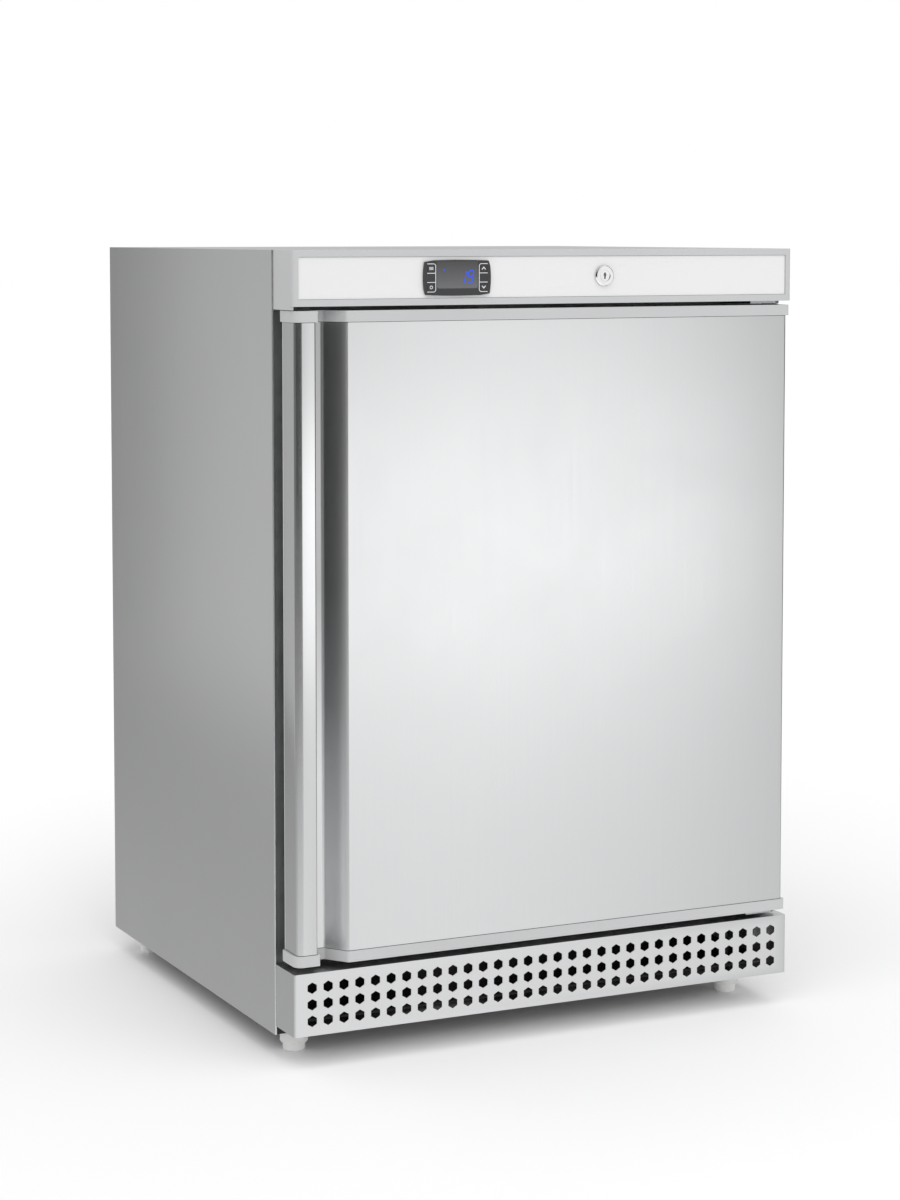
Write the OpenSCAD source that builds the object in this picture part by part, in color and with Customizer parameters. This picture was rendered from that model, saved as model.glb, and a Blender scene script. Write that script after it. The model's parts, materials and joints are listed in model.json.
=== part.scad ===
// Undercounter refrigerator: a steel cabinet on four levelling feet, with one solid door hinged on
// its right, a control fascia above the door and a perforated air grille below it.
// +X is to the right seen from the front, +Y to the back, +Z up. The origin is on the floor, in the
// middle of the overall width and depth. All lengths are in millimetres.

/* [Cabinet] */
// Width over the side panels
cabinet_w = 600; // [560:5:640]
// Height from the floor to the top panel
cabinet_h = 850; // [840:5:900]
// Depth from the control panel's face to the wall spacers
overall_d = 600; // [590:5:640]
// How far the fascia, door and grille stand in front of the cabinet
front_d = 51; // [49:1:54]
// Room behind the cabinet for the condenser
rear_gap = 35; // [33:1:40]
// Height of the cabinet's lower edge above the floor
base_z = 26.5; // [24:0.5:30]
// Thickness of the insulated side and rear walls
wall_t = 48; // [46:1:52]

/* [Front] */
// Height of the fascia
fascia_h = 57.5; // [55:0.5:60]
// Visible width of the fascia's grey rim
fascia_rim = 7; // [5:0.5:9]
// Height of the door's lower edge above the floor
door_z = 109; // [108:0.5:110]
// Gap between the door and the fascia
door_gap = 4.5; // [4:0.1:5]
// Thickness of the door without its gasket
door_t = 38; // [36:1:40]
// Height of the plastic caps on the door's two ends
cap_h = 11.6; // [10:0.2:14]
// Width of the door's grip
grip_w = 22.5; // [20:0.5:26]
// Depth of the finger groove beside the grip
groove_d = 24; // [20:1:26]
// Height of the air grille
grille_h = 66; // [64:1:67]
// Distance between grille holes along a row
hole_pitch = 18; // [17:0.5:20]
// Distance between rows of grille holes
row_pitch = 17.5; // [16:0.5:19]
// Width of a grille hole across its flats
hole_af = 10.5; // [8:0.5:12]

/* [Controls] */
// Width of the controller's bezel
bezel_w = 78; // [74:1:80]
// Height of the controller's bezel
bezel_h = 37; // [35:1:38]
// Distance of the controller from the cabinet's middle, to the left
bezel_off = 112.6; // [100:1:130]
// Distance of the lock from the cabinet's middle, to the right
lock_off = 63; // [50:1:90]
// Travel of a key
key_travel = 0.5; // [0.3:0.1:0.5]

/* [Inside] */
// Height of the cavity's floor
floor_z = 154; // [152:1:160]
// Height of the cavity's ceiling
ceiling_z = 743; // [738:1:745]
// Height of the lowest shelf
shelf_z = 300; // [296:1:310]
// Distance from shelf to shelf
shelf_step = 120; // [100:5:124]
// Distance between the wires of a shelf
wire_pitch = 24; // [20:1:30]

/* [Hidden] */

// Facets of a round shape
$fn = 40;
// Stainless sheet, moulded liner and the gap that keeps moving bodies apart
sheet_t = 1;
liner_t = 2.5;
clear = 0.3;
// Gap between a pin or shaft and the hole that it turns in, on the radius
running = 0.05;

steel = [0.73, 0.74, 0.75];
rim_grey = [0.78, 0.78, 0.79];
panel_white = [0.93, 0.93, 0.93];
liner_white = [0.95, 0.95, 0.94];
charcoal = [0.16, 0.16, 0.17];
zinc = [0.62, 0.63, 0.64];
black = [0.06, 0.06, 0.06];
copper = [0.72, 0.42, 0.28];

// Planes of the cabinet
half_w = cabinet_w / 2;
y_nose = -overall_d / 2;
y_face = y_nose + 2;
y_edge = y_face + front_d;
y_rear = overall_d / 2 - rear_gap;
y_frame = y_edge + 2;
y_back = y_rear - 1;
hem_t = 2.5;
hem_d = 12;
inner_x = half_w - sheet_t;
inside_x = half_w - hem_t - 0.1;
fascia_z = cabinet_h - fascia_h;
grille_z = base_z + 9.5;
grille_top = grille_z + grille_h;

// The cavity, the step in its floor and the machine bay under the step
cavity_x = half_w - wall_t;
cavity_y = y_back - wall_t;
step_y = 40;
step_z = 285;
bay_y = 80;
bay_z = 245;
deck_z = 108;
cavity_r = 18;
lip_w = 10;
drain_at = [-60, 186];
drain_r = 7;

// The door in plan, seen from above
door_top = fascia_z - door_gap;
y_door_back = y_face + door_t;
cap_x = half_w - 3;
cap_left = -cap_x;
skin_inset = 2.5;
skin_right = cap_x - 3.5;
y_skin = y_face + 1;
grip_left = cap_left + skin_inset;
grip_right = grip_left + grip_w;
groove_w = 17;
groove_end = grip_right + groove_w;
panel_start = groove_end + groove_w;
hinge_x = half_w - 17;
hinge_y = y_face + door_t / 2;
pin_r = 4;
bush_r = 7;

// Gasket rectangle, and the rectangle of the door's raised inner panel
gasket_x = half_w - 24;
gasket_low = door_z + 21;
gasket_high = door_top - 21;
gasket_w = 22;
dyke_x = cavity_x - 16;
dyke_low = floor_z + 14;
dyke_high = ceiling_z - 14;

// Lock and fan
lock_z = 821.7;
cam_l = 42;
cam_w = 12;
cam_y = y_face + 28;
fan_z = 645;
fan_y = 172;
fan_r = 50;
comp_at = [-60, 172];
comp_r = 70;
comp_low = 44;
comp_high = 196;
comp_seam = 118;
seam_h = 5;
foot_x = half_w - 32.5;
foot_front_y = y_edge + 27;
foot_rear_y = y_rear - 33;
stud_r = 5;

// ---- paths and profiles ----

function unit(v) = v / norm(v);
function left_of(v) = [-v[1], v[0]];

// The arc of radius r that rounds corner b of the path a, b, c
function corner_arc(a, b, c, r, n) =
    let (
        u = unit(a - b),
        v = unit(c - b),
        half = acos(u * v) / 2,
        centre = b + unit(u + v) * r / sin(half),
        s = b + u * r / tan(half) - centre,
        e = b + v * r / tan(half) - centre,
        turn = 180 - 2 * half
    )
    [for (i = [0:n]) centre + (s * sin(turn * (1 - i / n)) + e * sin(turn * i / n)) / sin(turn)];

// A path whose inner corners are rounded by radii[i]; 0 leaves a corner sharp
function rounded_path(p, radii, n = 6) =
    concat(
        [p[0]],
        [for (i = [1:len(p) - 2])
            each (radii[i] > 0 ? corner_arc(p[i - 1], p[i], p[i + 1], radii[i], n) : [p[i]])],
        [p[len(p) - 1]]
    );

// A closed outline whose corners are rounded by radii[i]
function rounded_loop(p, radii, n = 6) =
    let (m = len(p))
    [for (i = [0:m - 1])
        each (radii[i] > 0
            ? corner_arc(p[(i + m - 1) % m], p[i], p[(i + 1) % m], radii[i], n)
            : [p[i]])];

// The outline of a folded sheet of thickness t that lies to the left of the path
function folded(p, t) =
    let (
        m = len(p),
        n = [for (i = [0:m - 2]) left_of(unit(p[i + 1] - p[i]))],
        offsets = [for (i = [0:m - 1])
            i == 0 ? n[0]
            : i == m - 1 ? n[m - 2]
            : (n[i - 1] + n[i]) / (1 + n[i - 1] * n[i])]
    )
    concat(p, [for (i = [m - 1:-1:0]) p[i] + offsets[i] * t]);

// Points of the edge from a to b, bowed out to the right of its direction by sag
function bowed(a, b, sag, n = 8) =
    [for (i = [0:n - 1])
        let (t = i / n)
        a + (b - a) * t - left_of(unit(b - a)) * 4 * sag * t * (1 - t)];

module block(lo, hi) {
    translate(lo) cube(hi - lo);
}

module along_x(x0, x1) {
    translate([x0, 0, 0]) rotate([90, 0, 90]) linear_extrude(x1 - x0) children();
}

module along_y(y0, y1) {
    translate([0, y1, 0]) rotate([90, 0, 0]) linear_extrude(y1 - y0) children();
}

module along_z(z0, z1) {
    translate([0, 0, z0]) linear_extrude(z1 - z0) children();
}

// A flat rectangle from lo to hi
module rect(lo, hi) {
    translate(lo) square(hi - lo);
}

// A flat rectangle from lo to hi with round corners
module round_rect(lo, hi, r) {
    rect([lo[0] + r, lo[1]], [hi[0] - r, hi[1]]);
    rect([lo[0], lo[1] + r], [hi[0], hi[1] - r]);
    for (x = [lo[0] + r, hi[0] - r], y = [lo[1] + r, hi[1] - r]) translate([x, y]) circle(r);
}

// A round rod from a to b
module rod(a, b, r) {
    d = b - a;
    translate(a)
        rotate([0, acos(d[2] / norm(d)), atan2(d[1], d[0])])
            cylinder(h = norm(d), r = r);
}

// A quarter or half ring that joins two rods, flat in the XY plane
module bend(ring_r, rod_r, angle) {
    rotate_extrude(angle = angle) translate([ring_r, 0]) circle(rod_r);
}

// Cuts the corners off a route n times, so that its bends become smooth
function eased(p, n) =
    n == 0 ? p
    : eased(
        concat(
            [p[0]],
            [for (i = [0:len(p) - 2])
                each [p[i] * 0.75 + p[i + 1] * 0.25, p[i] * 0.25 + p[i + 1] * 0.75]],
            [p[len(p) - 1]]
        ),
        n - 1
    );

// A bent tube of radius r along a route; no stretch of a route points along the vector aside
module pipe(route, r, sides = 10) {
    aside = unit([0.31, 0.52, 0.79]);
    p = eased(route, 2);
    n = len(p);
    rings = [for (i = [0:n - 1])
        let (
            t = unit(p[min(i + 1, n - 1)] - p[max(i - 1, 0)]),
            u = unit(cross(t, aside)),
            v = cross(t, u)
        )
        for (k = [0:sides - 1]) p[i] + r * (u * cos(360 * k / sides) + v * sin(360 * k / sides))];
    walls = [for (i = [0:n - 2], k = [0:sides - 1])
        let (a = i * sides + k, b = i * sides + (k + 1) % sides)
        each [[a, a + sides, b], [b, a + sides, b + sides]]];
    ends = [
        [for (k = [0:sides - 1]) k],
        [for (k = [sides - 1:-1:0]) (n - 1) * sides + k]
    ];
    polyhedron(rings, concat(walls, ends));
}

// ---- outer cabinet ----

// A side sheet: a rounded hem at its front edge and a flange at its rear
module side_panel() {
    flange = 15;
    along_z(base_z, cabinet_h) {
        rect([-half_w, y_edge + hem_t / 2], [-inner_x, y_rear]);
        rect([-half_w, y_edge + hem_t / 2], [-half_w + hem_t, y_edge + hem_d]);
        translate([-half_w + hem_t / 2, y_edge + hem_t / 2]) circle(hem_t / 2);
        rect([-half_w, y_back], [-half_w + flange, y_rear]);
    }
}

module left_side_panel() {
    color(steel) side_panel();
}

module right_side_panel() {
    color(steel) mirror([1, 0, 0]) side_panel();
}

// The top sheet lies between the side sheets, with a thin dark seam on each side, and is notched
// round their hems
module top_panel() {
    seam = 0.5;
    x = inner_x - seam;
    lip = 12;
    color(steel)
        difference() {
            along_y(y_edge, y_back)
                polygon(folded([[-x, cabinet_h - lip], [-x, cabinet_h], [x, cabinet_h],
                    [x, cabinet_h - lip]], -1.2));
            for (side = [0, 1])
                mirror([side, 0, 0])
                    block([half_w - hem_t - 0.3, y_edge - 1, cabinet_h - lip - 1],
                        [half_w, y_edge + hem_d + 0.2, cabinet_h + 1]);
        }
}

module back_panel() {
    x = inside_x - 0.5;
    color(zinc) block([-x, y_back - 1.2, bay_z + 1], [x, y_back, cabinet_h - 1.5]);
}

// One folded sheet closes the insulation above the air duct and the machine bay
module machine_bay_panel() {
    front = y_frame + 1.2;
    color(zinc)
        difference() {
            along_x(-inside_x, inside_x)
                polygon(folded([[front, deck_z], [bay_y, deck_z], [bay_y, bay_z],
                    [y_back - 1.2, bay_z]], -1.2));
            translate([drain_at[0], drain_at[1], bay_z - 3]) cylinder(h = 6, r = drain_r + 0.5);
        }
}

// The floor of the machine bay; its nuts take the feet's studs
module base_tray() {
    nut_r = 10;
    nut_h = 9;
    t = 1.5;
    color(black)
        difference() {
            union() {
                along_x(-inside_x, inside_x)
                    polygon(folded([[y_edge + 1, grille_z + 3], [y_edge + 1, base_z],
                        [y_back, base_z], [y_back, base_z + 26]], t));
                for (p = foot_places())
                    translate([p[0], p[1], base_z + t]) cylinder(h = nut_h, r = nut_r, $fn = 6);
            }
            for (p = foot_places())
                translate([p[0], p[1], base_z - 1]) cylinder(h = nut_h + 4, r = stud_r + running);
        }
}

// The steel face round the cavity that the gasket seals on
module front_frame() {
    color(zinc)
        along_y(y_frame, y_frame + 1.2)
            difference() {
                rect([-inside_x, 84], [inside_x, cabinet_h - 1.5]);
                round_rect([-cavity_x - lip_w, floor_z - lip_w],
                    [cavity_x + lip_w, ceiling_z + lip_w], cavity_r + lip_w);
            }
}

// The cavity's space, grown outwards by g all round
module cavity_space(g) {
    y0 = y_frame - 1;
    intersection() {
        along_x(-cavity_x - g, cavity_x + g)
            polygon(rounded_loop([[y0, floor_z - g], [step_y + g, floor_z - g],
                [step_y + g, step_z - g], [cavity_y + g, step_z - g],
                [cavity_y + g, ceiling_z + g], [y0, ceiling_z + g]],
                [0, cavity_r, cavity_r, cavity_r + g, cavity_r + g, 0], 5));
        along_y(y0, cavity_y + g)
            round_rect([-cavity_x - g, floor_z - g], [cavity_x + g, ceiling_z + g], cavity_r + g);
    }
}

module cabinet_foam() {
    x = inside_x - 0.2;
    front = y_frame + liner_t;
    color([0.93, 0.88, 0.66])
        difference() {
            along_x(-x, x)
                polygon([[front, deck_z + 0.1], [bay_y - 0.1, deck_z + 0.1],
                    [bay_y - 0.1, bay_z + 0.1], [y_back - 1.2, bay_z + 0.1],
                    [y_back - 1.2, cabinet_h - 1.3], [front, cabinet_h - 1.3]]);
            cavity_space(liner_t);
            translate([drain_at[0], drain_at[1], bay_z - 1]) cylinder(h = 60, r = drain_r + 0.1);
        }
}

module inner_liner() {
    color(liner_white)
        difference() {
            union() {
                intersection() {
                    cavity_space(liner_t);
                    block([-half_w, y_frame, 0], [half_w, y_rear, cabinet_h]);
                }
                along_y(y_frame, y_frame + liner_t)
                    round_rect([-cavity_x - lip_w, floor_z - lip_w],
                        [cavity_x + lip_w, ceiling_z + lip_w], cavity_r + lip_w);
            }
            cavity_space(0);
            translate([drain_at[0], drain_at[1], step_z - 10]) cylinder(h = 20, r = drain_r + 0.1);
        }
}

// ---- inside the cavity ----

shelf_front = -225;
shelf_back = 196;
shelf_x = cavity_x - 5.5;
frame_rod = 2.5;

module shelf_rails() {
    ledge_w = 8;
    color(liner_white)
        for (level = [0:2], side = [0, 1])
            mirror([side, 0, 0])
                translate([0, 0, shelf_z + level * shelf_step])
                    along_y(shelf_front - 4, shelf_back)
                        polygon([[cavity_x, -9], [cavity_x, 11], [cavity_x - 4, 9],
                            [cavity_x - 4, 5], [cavity_x - 1.5, 3.5], [cavity_x - 1.5, -frame_rod],
                            [cavity_x - ledge_w, -frame_rod], [cavity_x - ledge_w, -6]]);
}

// A wire shelf: a bent rod frame, one cross rod, and wires welded over them
module wire_shelf(z) {
    bend_r = 14;
    wire_r = 1.5;
    wire_rise = frame_rod + wire_r - 0.7;
    span = 2 * (shelf_x - bend_r);
    wires = floor(span / wire_pitch);
    color([0.9, 0.9, 0.9])
        translate([0, 0, z]) {
            for (s = [-1, 1]) {
                rod([s * shelf_x, shelf_front + bend_r, 0], [s * shelf_x, shelf_back - bend_r, 0],
                    frame_rod);
            }
            for (y = [shelf_front, shelf_back])
                rod([-shelf_x + bend_r, y, 0], [shelf_x - bend_r, y, 0], frame_rod);
            for (corner = [[1, 1, 0], [-1, 1, 90], [-1, -1, 180], [1, -1, 270]])
                translate([corner[0] * (shelf_x - bend_r),
                    corner[1] > 0 ? shelf_back - bend_r : shelf_front + bend_r, 0])
                    rotate([0, 0, corner[2]]) bend(bend_r, frame_rod, 90);
            rod([-shelf_x, (shelf_front + shelf_back) / 2, 0],
                [shelf_x, (shelf_front + shelf_back) / 2, 0], frame_rod);
            for (i = [0:wires])
                rod([(i - wires / 2) * wire_pitch, shelf_front, wire_rise],
                    [(i - wires / 2) * wire_pitch, shelf_back, wire_rise], wire_r);
        }
}

module lower_shelf() {
    wire_shelf(shelf_z);
}

module middle_shelf() {
    wire_shelf(shelf_z + shelf_step);
}

module upper_shelf() {
    wire_shelf(shelf_z + 2 * shelf_step);
}

// A cold plate with its refrigerant channels, held off the liner by the channels
module evaporator() {
    x = 205;
    low = 330;
    high = 700;
    plate = 1.5;
    y = cavity_y - 7;
    runs = 6;
    color([0.8, 0.8, 0.82]) {
        block([-x, y, low], [x, y + plate, high]);
        for (i = [0:runs - 1]) {
            z = low + 30 + i * (high - low - 60) / (runs - 1);
            block([-x + 20, y + plate, z - 4], [x - 20, cavity_y, z + 4]);
        }
    }
}

guard_x = 150;
guard_low = 575;
guard_high = 715;
guard_front = 150;

// The white cover of the fan, open towards the evaporator behind it
module air_guard() {
    wall = 2.5;
    back = cavity_y - 8;
    ring_step = 11;
    color(liner_white)
        difference() {
            union() {
                difference() {
                    along_y(guard_front, back)
                        round_rect([-guard_x, guard_low], [guard_x, guard_high], 16);
                    along_y(guard_front + wall, back + 1)
                        round_rect([-guard_x + wall, guard_low + wall],
                            [guard_x - wall, guard_high - wall], 16 - wall);
                }
            }
            along_y(guard_front - 1, guard_front + wall + 1)
                translate([0, fan_z])
                    difference() {
                        circle(fan_r + 4);
                        circle(12);
                        for (r = [22:ring_step:fan_r])
                            difference() {
                                circle(r + 1.5);
                                circle(r - 1.5);
                            }
                        for (a = [0:60:120]) rotate(a) square([2 * fan_r + 12, 3], center = true);
                    }
            along_y(guard_front - 1, guard_front + wall + 1)
                for (side = [-1, 1], i = [-3:3])
                    round_rect([side * 105 - 24, fan_z - 3 + i * 14], [side * 105 + 24,
                        fan_z + 3 + i * 14], 2.9);
        }
}

// The fan's motor on its three-legged bracket, with the shaft that the rotor turns on
module fan_motor() {
    shaft_r = 1.5;
    color(charcoal) {
        translate([0, fan_y + 11, fan_z]) rotate([-90, 0, 0]) cylinder(h = 22, r = 17);
        translate([0, fan_y - 6, fan_z]) rotate([-90, 0, 0]) cylinder(h = 18, r = shaft_r);
        for (a = [90, 210, 330])
            translate([0, fan_y + 27, fan_z])
                rotate([0, a, 0]) translate([0, 0, -4]) cube([62, 4, 8]);
    }
}

module fan_rotor() {
    hub_r = 15;
    hub_h = 14;
    blades = 5;
    color([0.2, 0.2, 0.21])
        translate([0, fan_y, fan_z])
            rotate([-90, 0, 0])
                difference() {
                    union() {
                        translate([0, 0, -hub_h / 2]) cylinder(h = hub_h, r = hub_r);
                        intersection() {
                            for (i = [0:blades - 1])
                                rotate([0, 0, i * 360 / blades])
                                    rotate([28, 0, 0])
                                        translate([hub_r - 3, -14, -0.8]) cube([fan_r, 28, 1.6]);
                            translate([0, 0, -9]) cylinder(h = 18, r = fan_r);
                        }
                    }
                    translate([0, 0, -hub_h]) cylinder(h = 2 * hub_h, r = 1.5 + running);
                }
}

module temperature_probe() {
    color([0.75, 0.76, 0.78]) {
        rod([225, cavity_y - 12, 480], [225, cavity_y - 12, 515], 3);
        block([221, cavity_y - 12, 490], [229, cavity_y, 500]);
    }
}

// ---- control fascia ----

// A moulded grey box, open behind, with a rim round the recessed white panel
module fascia_frame() {
    x = half_w - 1.5;
    wall = 2.5;
    corner = 3;
    back = y_edge - 0.2;
    floor_back = y_edge - 2;
    skirt = [3, 4];
    panel_low = fascia_z + fascia_rim;
    panel_high = cabinet_h - fascia_rim;
    color(rim_grey)
        difference() {
            union() {
                along_z(fascia_z, cabinet_h)
                    polygon(folded(rounded_path([[x, back], [x, y_face], [-x, y_face], [-x, back]],
                        [0, corner, corner, 0]), -wall));
                block([-x + 1, y_face + 1, fascia_z], [x - 1, floor_back, fascia_z + wall]);
                block([-x + 1, y_face + 1, cabinet_h - wall], [x - 1, back, cabinet_h]);
                block([-x, y_face + skirt[1], fascia_z - skirt[1] + 0.3],
                    [-x + skirt[0], back, fascia_z + 1]);
            }
            along_y(y_face - 1, y_face + wall + 1)
                rect([-x + fascia_rim, panel_low], [x - fascia_rim, panel_high]);
            block([lock_off - cam_w / 2 - 3, cam_y - 4, fascia_z - 1],
                [lock_off + cam_l, cam_y + 4, fascia_z + wall + 1]);
        }
}

insert_front = y_face + 1.2;
insert_t = 2;
body_half = [35.5, 14.5];

// The white panel behind the rim, cut out for the controller and the lock
module fascia_insert() {
    x = half_w - 4.2;
    lap = 3;
    color(panel_white)
        difference() {
            union() {
                along_y(y_face + 2.6, insert_front + insert_t + 0.6)
                    rect([-x, fascia_z + fascia_rim - lap], [x, cabinet_h - fascia_rim + lap]);
                along_y(insert_front, insert_front + insert_t)
                    rect([-half_w + 1.7 + fascia_rim, fascia_z + fascia_rim + 0.2],
                        [half_w - 1.7 - fascia_rim, cabinet_h - fascia_rim - 0.2]);
            }
            along_y(y_face, y_face + 10)
                translate([-bezel_off, bezel_mid]) square(2 * body_half + [0.4, 0.4], center = true);
            along_y(y_face, y_face + 10) translate([lock_off, lock_z]) circle(9.7);
        }
}

bezel_front = y_nose + 0.4;
bezel_mid = fascia_z + fascia_h / 2 - 0.5;
window_half = [24.4, 14.4];
window_up = 3;
key_half = [4.2, 4];
key_at = [30.4, 9.8];
key_front = y_nose + 0.2;
key_t = 1.6;

// The window's outline round the bezel's middle: square above, rounded below
module window_outline(grow) {
    translate([-bezel_off, bezel_mid + window_up])
        polygon(rounded_loop([
            [-window_half[0] - grow, window_half[1] + grow],
            [-window_half[0] - grow, -window_half[1] - grow],
            [window_half[0] + grow, -window_half[1] - grow],
            [window_half[0] + grow, window_half[1] + grow]], [0.6, 3, 3, 0.6], 5));
}

module key_outline(column, row, grow) {
    x = -bezel_off + column * key_at[0];
    z = bezel_mid + row * key_at[1];
    round_rect([x - key_half[0] - grow, z - key_half[1] - grow],
        [x + key_half[0] + grow, z + key_half[1] + grow], 1 + grow);
}

// The bezel's four edges bow outwards, and its body passes through the panel
module controller_case() {
    a = [bezel_w / 2 - 1.5, bezel_h / 2 - 0.7];
    cut = 1.2;
    body_d = 38;
    color(charcoal)
        difference() {
            union() {
                along_y(bezel_front, insert_front)
                    translate([-bezel_off, bezel_mid])
                        polygon(concat(
                            bowed([-a[0] + cut, -a[1]], [a[0] - cut, -a[1]], 0.9),
                            bowed([a[0], -a[1] + cut], [a[0], a[1] - cut], 1.4),
                            bowed([a[0] - cut, a[1]], [-a[0] + cut, a[1]], 0.9),
                            bowed([-a[0], a[1] - cut], [-a[0], -a[1] + cut], 1.4)));
                along_y(insert_front, insert_front + body_d)
                    translate([-bezel_off, bezel_mid]) square(2 * body_half, center = true);
            }
            along_y(bezel_front - 1, bezel_front + 1.6) window_outline(0.1);
            for (column = [-1, 1], row = [-1, 1])
                along_y(bezel_front - 1, key_front + key_t + key_travel + clear)
                    key_outline(column, row, clear);
        }
}

module controller_window() {
    color([0.1, 0.1, 0.11])
        difference() {
            along_y(bezel_front + 0.2, bezel_front + 1.6) window_outline(0);
            along_y(bezel_front - 1, bezel_front + 0.7) digit_outlines(0.02);
        }
}

digit_h = 13;
digit_w = 5.8;
stroke = 1.4;

// One of a digit's seven bars, numbered a to g as 0 to 6
module bar(i) {
    place = [[0.5, 1, 0], [1, 0.75, 90], [1, 0.25, 90], [0.5, 0, 0], [0, 0.25, 90], [0, 0.75, 90],
        [0.5, 0.5, 0]][i];
    l = (place[2] == 0 ? digit_w : digit_h / 2) - 0.5;
    s = stroke / 2;
    translate([place[0] * digit_w, place[1] * digit_h])
        rotate(place[2])
            polygon([[-l / 2, 0], [-l / 2 + s, s], [l / 2 - s, s], [l / 2, 0], [l / 2 - s, -s],
                [-l / 2 + s, -s]]);
}

// A two-figure temperature, leaning a little to the right, and a lamp dot
module digit_outlines(grow) {
    lean = tan(10);
    low = bezel_mid - 5.6;
    multmatrix([[1, lean, 0, -bezel_off - lean * low], [0, 1, 0, 0], [0, 0, 1, 0], [0, 0, 0, 1]]) {
        translate([2.2, low]) for (i = [1, 2]) bar(i);
        translate([10.8, low]) for (i = [0, 1, 2, 3, 5, 6]) bar(i);
    }
    translate([-bezel_off - 15.3, bezel_mid + 8.2]) circle(1 + grow);
}

module display_digits() {
    color([0.15, 0.35, 0.95]) along_y(bezel_front + 0.15, bezel_front + 0.7) digit_outlines(0);
}

module key(column, row) {
    color(charcoal) along_y(key_front, key_front + key_t) key_outline(column, row, 0);
}

module key_up() {
    key(1, 1);
}

module key_down() {
    key(1, -1);
}

module key_set() {
    key(-1, -1);
}

module key_menu() {
    key(-1, 1);
}

cylinder_r = 6;
barrel_end = cam_y - 2;

// A ring on the panel, the barrel through it and the nut behind it
module lock_body() {
    ring = 11.2;
    color([0.82, 0.82, 0.83])
        translate([lock_off, 0, lock_z])
            rotate([-90, 0, 0])
                difference() {
                    union() {
                        translate([0, 0, y_nose])
                            rotate_extrude()
                                polygon([[0, 0], [ring - 1.2, 0], [ring, 1.2],
                                    [ring, insert_front - y_nose], [0, insert_front - y_nose]]);
                        translate([0, 0, insert_front])
                            cylinder(h = barrel_end - insert_front, r = 9.5);
                        translate([0, 0, insert_front + insert_t + 0.8])
                            cylinder(h = 4, r = 13, $fn = 6);
                    }
                    translate([0, 0, y_nose - 1])
                        cylinder(h = barrel_end - y_nose + 2, r = cylinder_r + running);
                }
}

module lock_cylinder() {
    color([0.7, 0.7, 0.71])
        translate([lock_off, 0, lock_z])
            difference() {
                rotate([-90, 0, 0])
                    translate([0, 0, y_nose + 0.8])
                        cylinder(h = cam_y - y_nose - 0.8, r = cylinder_r);
                block([-0.8, y_nose, -3.4], [0.8, y_nose + 12, 3.4]);
                translate([0, y_nose + 12, 1]) rotate([90, 0, 0]) cylinder(h = 12, r = 1.7);
            }
}

// The bar that turns down into the slot of the door's top cap
module lock_cam() {
    t = 2;
    color(zinc)
        translate([lock_off, 0, lock_z])
            along_y(cam_y, cam_y + t)
                union() {
                    circle(cam_w / 2 + 1);
                    rect([0, -cam_w / 2], [cam_l, cam_w / 2]);
                }
}

// ---- hinges ----

plate_t = 3;
plate_gap = 1.5;
leg_front = y_frame - 3;

// The plan of a hinge plate, rounded round its pin
module hinge_plan() {
    difference() {
        union() {
            rect([hinge_x - 31, hinge_y - 4], [hinge_x + 8, y_frame]);
            translate([hinge_x, hinge_y]) circle(10);
            rect([hinge_x - 31, hinge_y - 10], [hinge_x, hinge_y]);
        }
        translate([hinge_x + 10, y_edge - 10]) circle(9);
    }
}

// An angle plate on the frame, with the pin that the door hangs on
module upper_hinge() {
    low = door_top + plate_gap;
    color(zinc) {
        along_z(low, low + plate_t - 0.1) hinge_plan();
        block([hinge_x - 31, leg_front, low], [hinge_x, y_frame, low + 44]);
        translate([hinge_x, hinge_y, door_top - 11]) cylinder(h = 11 + plate_gap + 1, r = pin_r);
    }
}

module lower_hinge() {
    high = door_z - plate_gap + 0.2;
    color(zinc) {
        along_z(high - plate_t, high) hinge_plan();
        block([hinge_x - 31, leg_front, high - 22], [hinge_x, y_frame, high]);
        translate([hinge_x, hinge_y, high - 1]) cylinder(h = 12, r = pin_r);
    }
}

// A screw head of radius r that stands on the XY plane
module screw_head(r) {
    cylinder(h = 1, r = r);
    translate([0, 0, 1]) cylinder(h = 1, r1 = r, r2 = r * 0.6);
}

// The hinges' screws in front, and those of the rear flanges behind
module cabinet_screws() {
    flange_x = half_w - 8;
    color(zinc) {
        for (x = [hinge_x - 24, hinge_x - 8], z = [door_top + 22, door_top + 36, door_z - 13])
            translate([x, leg_front, z]) rotate([90, 0, 0]) screw_head(4);
        for (side = [-1, 1], z = [80, 270, 455, 640, 825])
            translate([side * flange_x, y_rear, z]) rotate([-90, 0, 0]) screw_head(3.8);
    }
}

// ---- grille ----

// A folded cover with three rows of six-sided holes, closed above and below by its flanges
module front_grille() {
    x = half_w - 1;
    tab = 14;
    front = y_face + 0.5;
    back = y_edge - 0.3;
    columns = 32;
    rows = 3;
    mid_z = grille_z + grille_h / 2;
    color(steel) {
        difference() {
            along_z(grille_z, grille_top)
                polygon(folded(rounded_path([[x - tab, back], [x, back], [x, front],
                    [-x, front], [-x, back], [tab - x, back]], [0, 0, 2, 2, 0, 0]), -sheet_t));
            along_y(front - 1, front + sheet_t + 1)
                for (i = [0:columns - 1], j = [0:rows - 1])
                    translate([(i - (columns - 1) / 2) * hole_pitch,
                        mid_z + (j - (rows - 1) / 2) * row_pitch])
                        rotate(30) circle(hole_af / 2 / cos(30), $fn = 6);
        }
        for (low = [grille_z, grille_top - sheet_t])
            block([-x + 0.9, front + 0.5, low], [x - 0.9, y_edge - 2.2, low + sheet_t]);
    }
}

// ---- refrigeration ----

// The right half of a rounded profile, to be turned round Z
module half_profile(r, low, high, corner) {
    intersection() {
        round_rect([-r, low], [r, high], corner);
        rect([0, low], [r, high]);
    }
}

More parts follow.
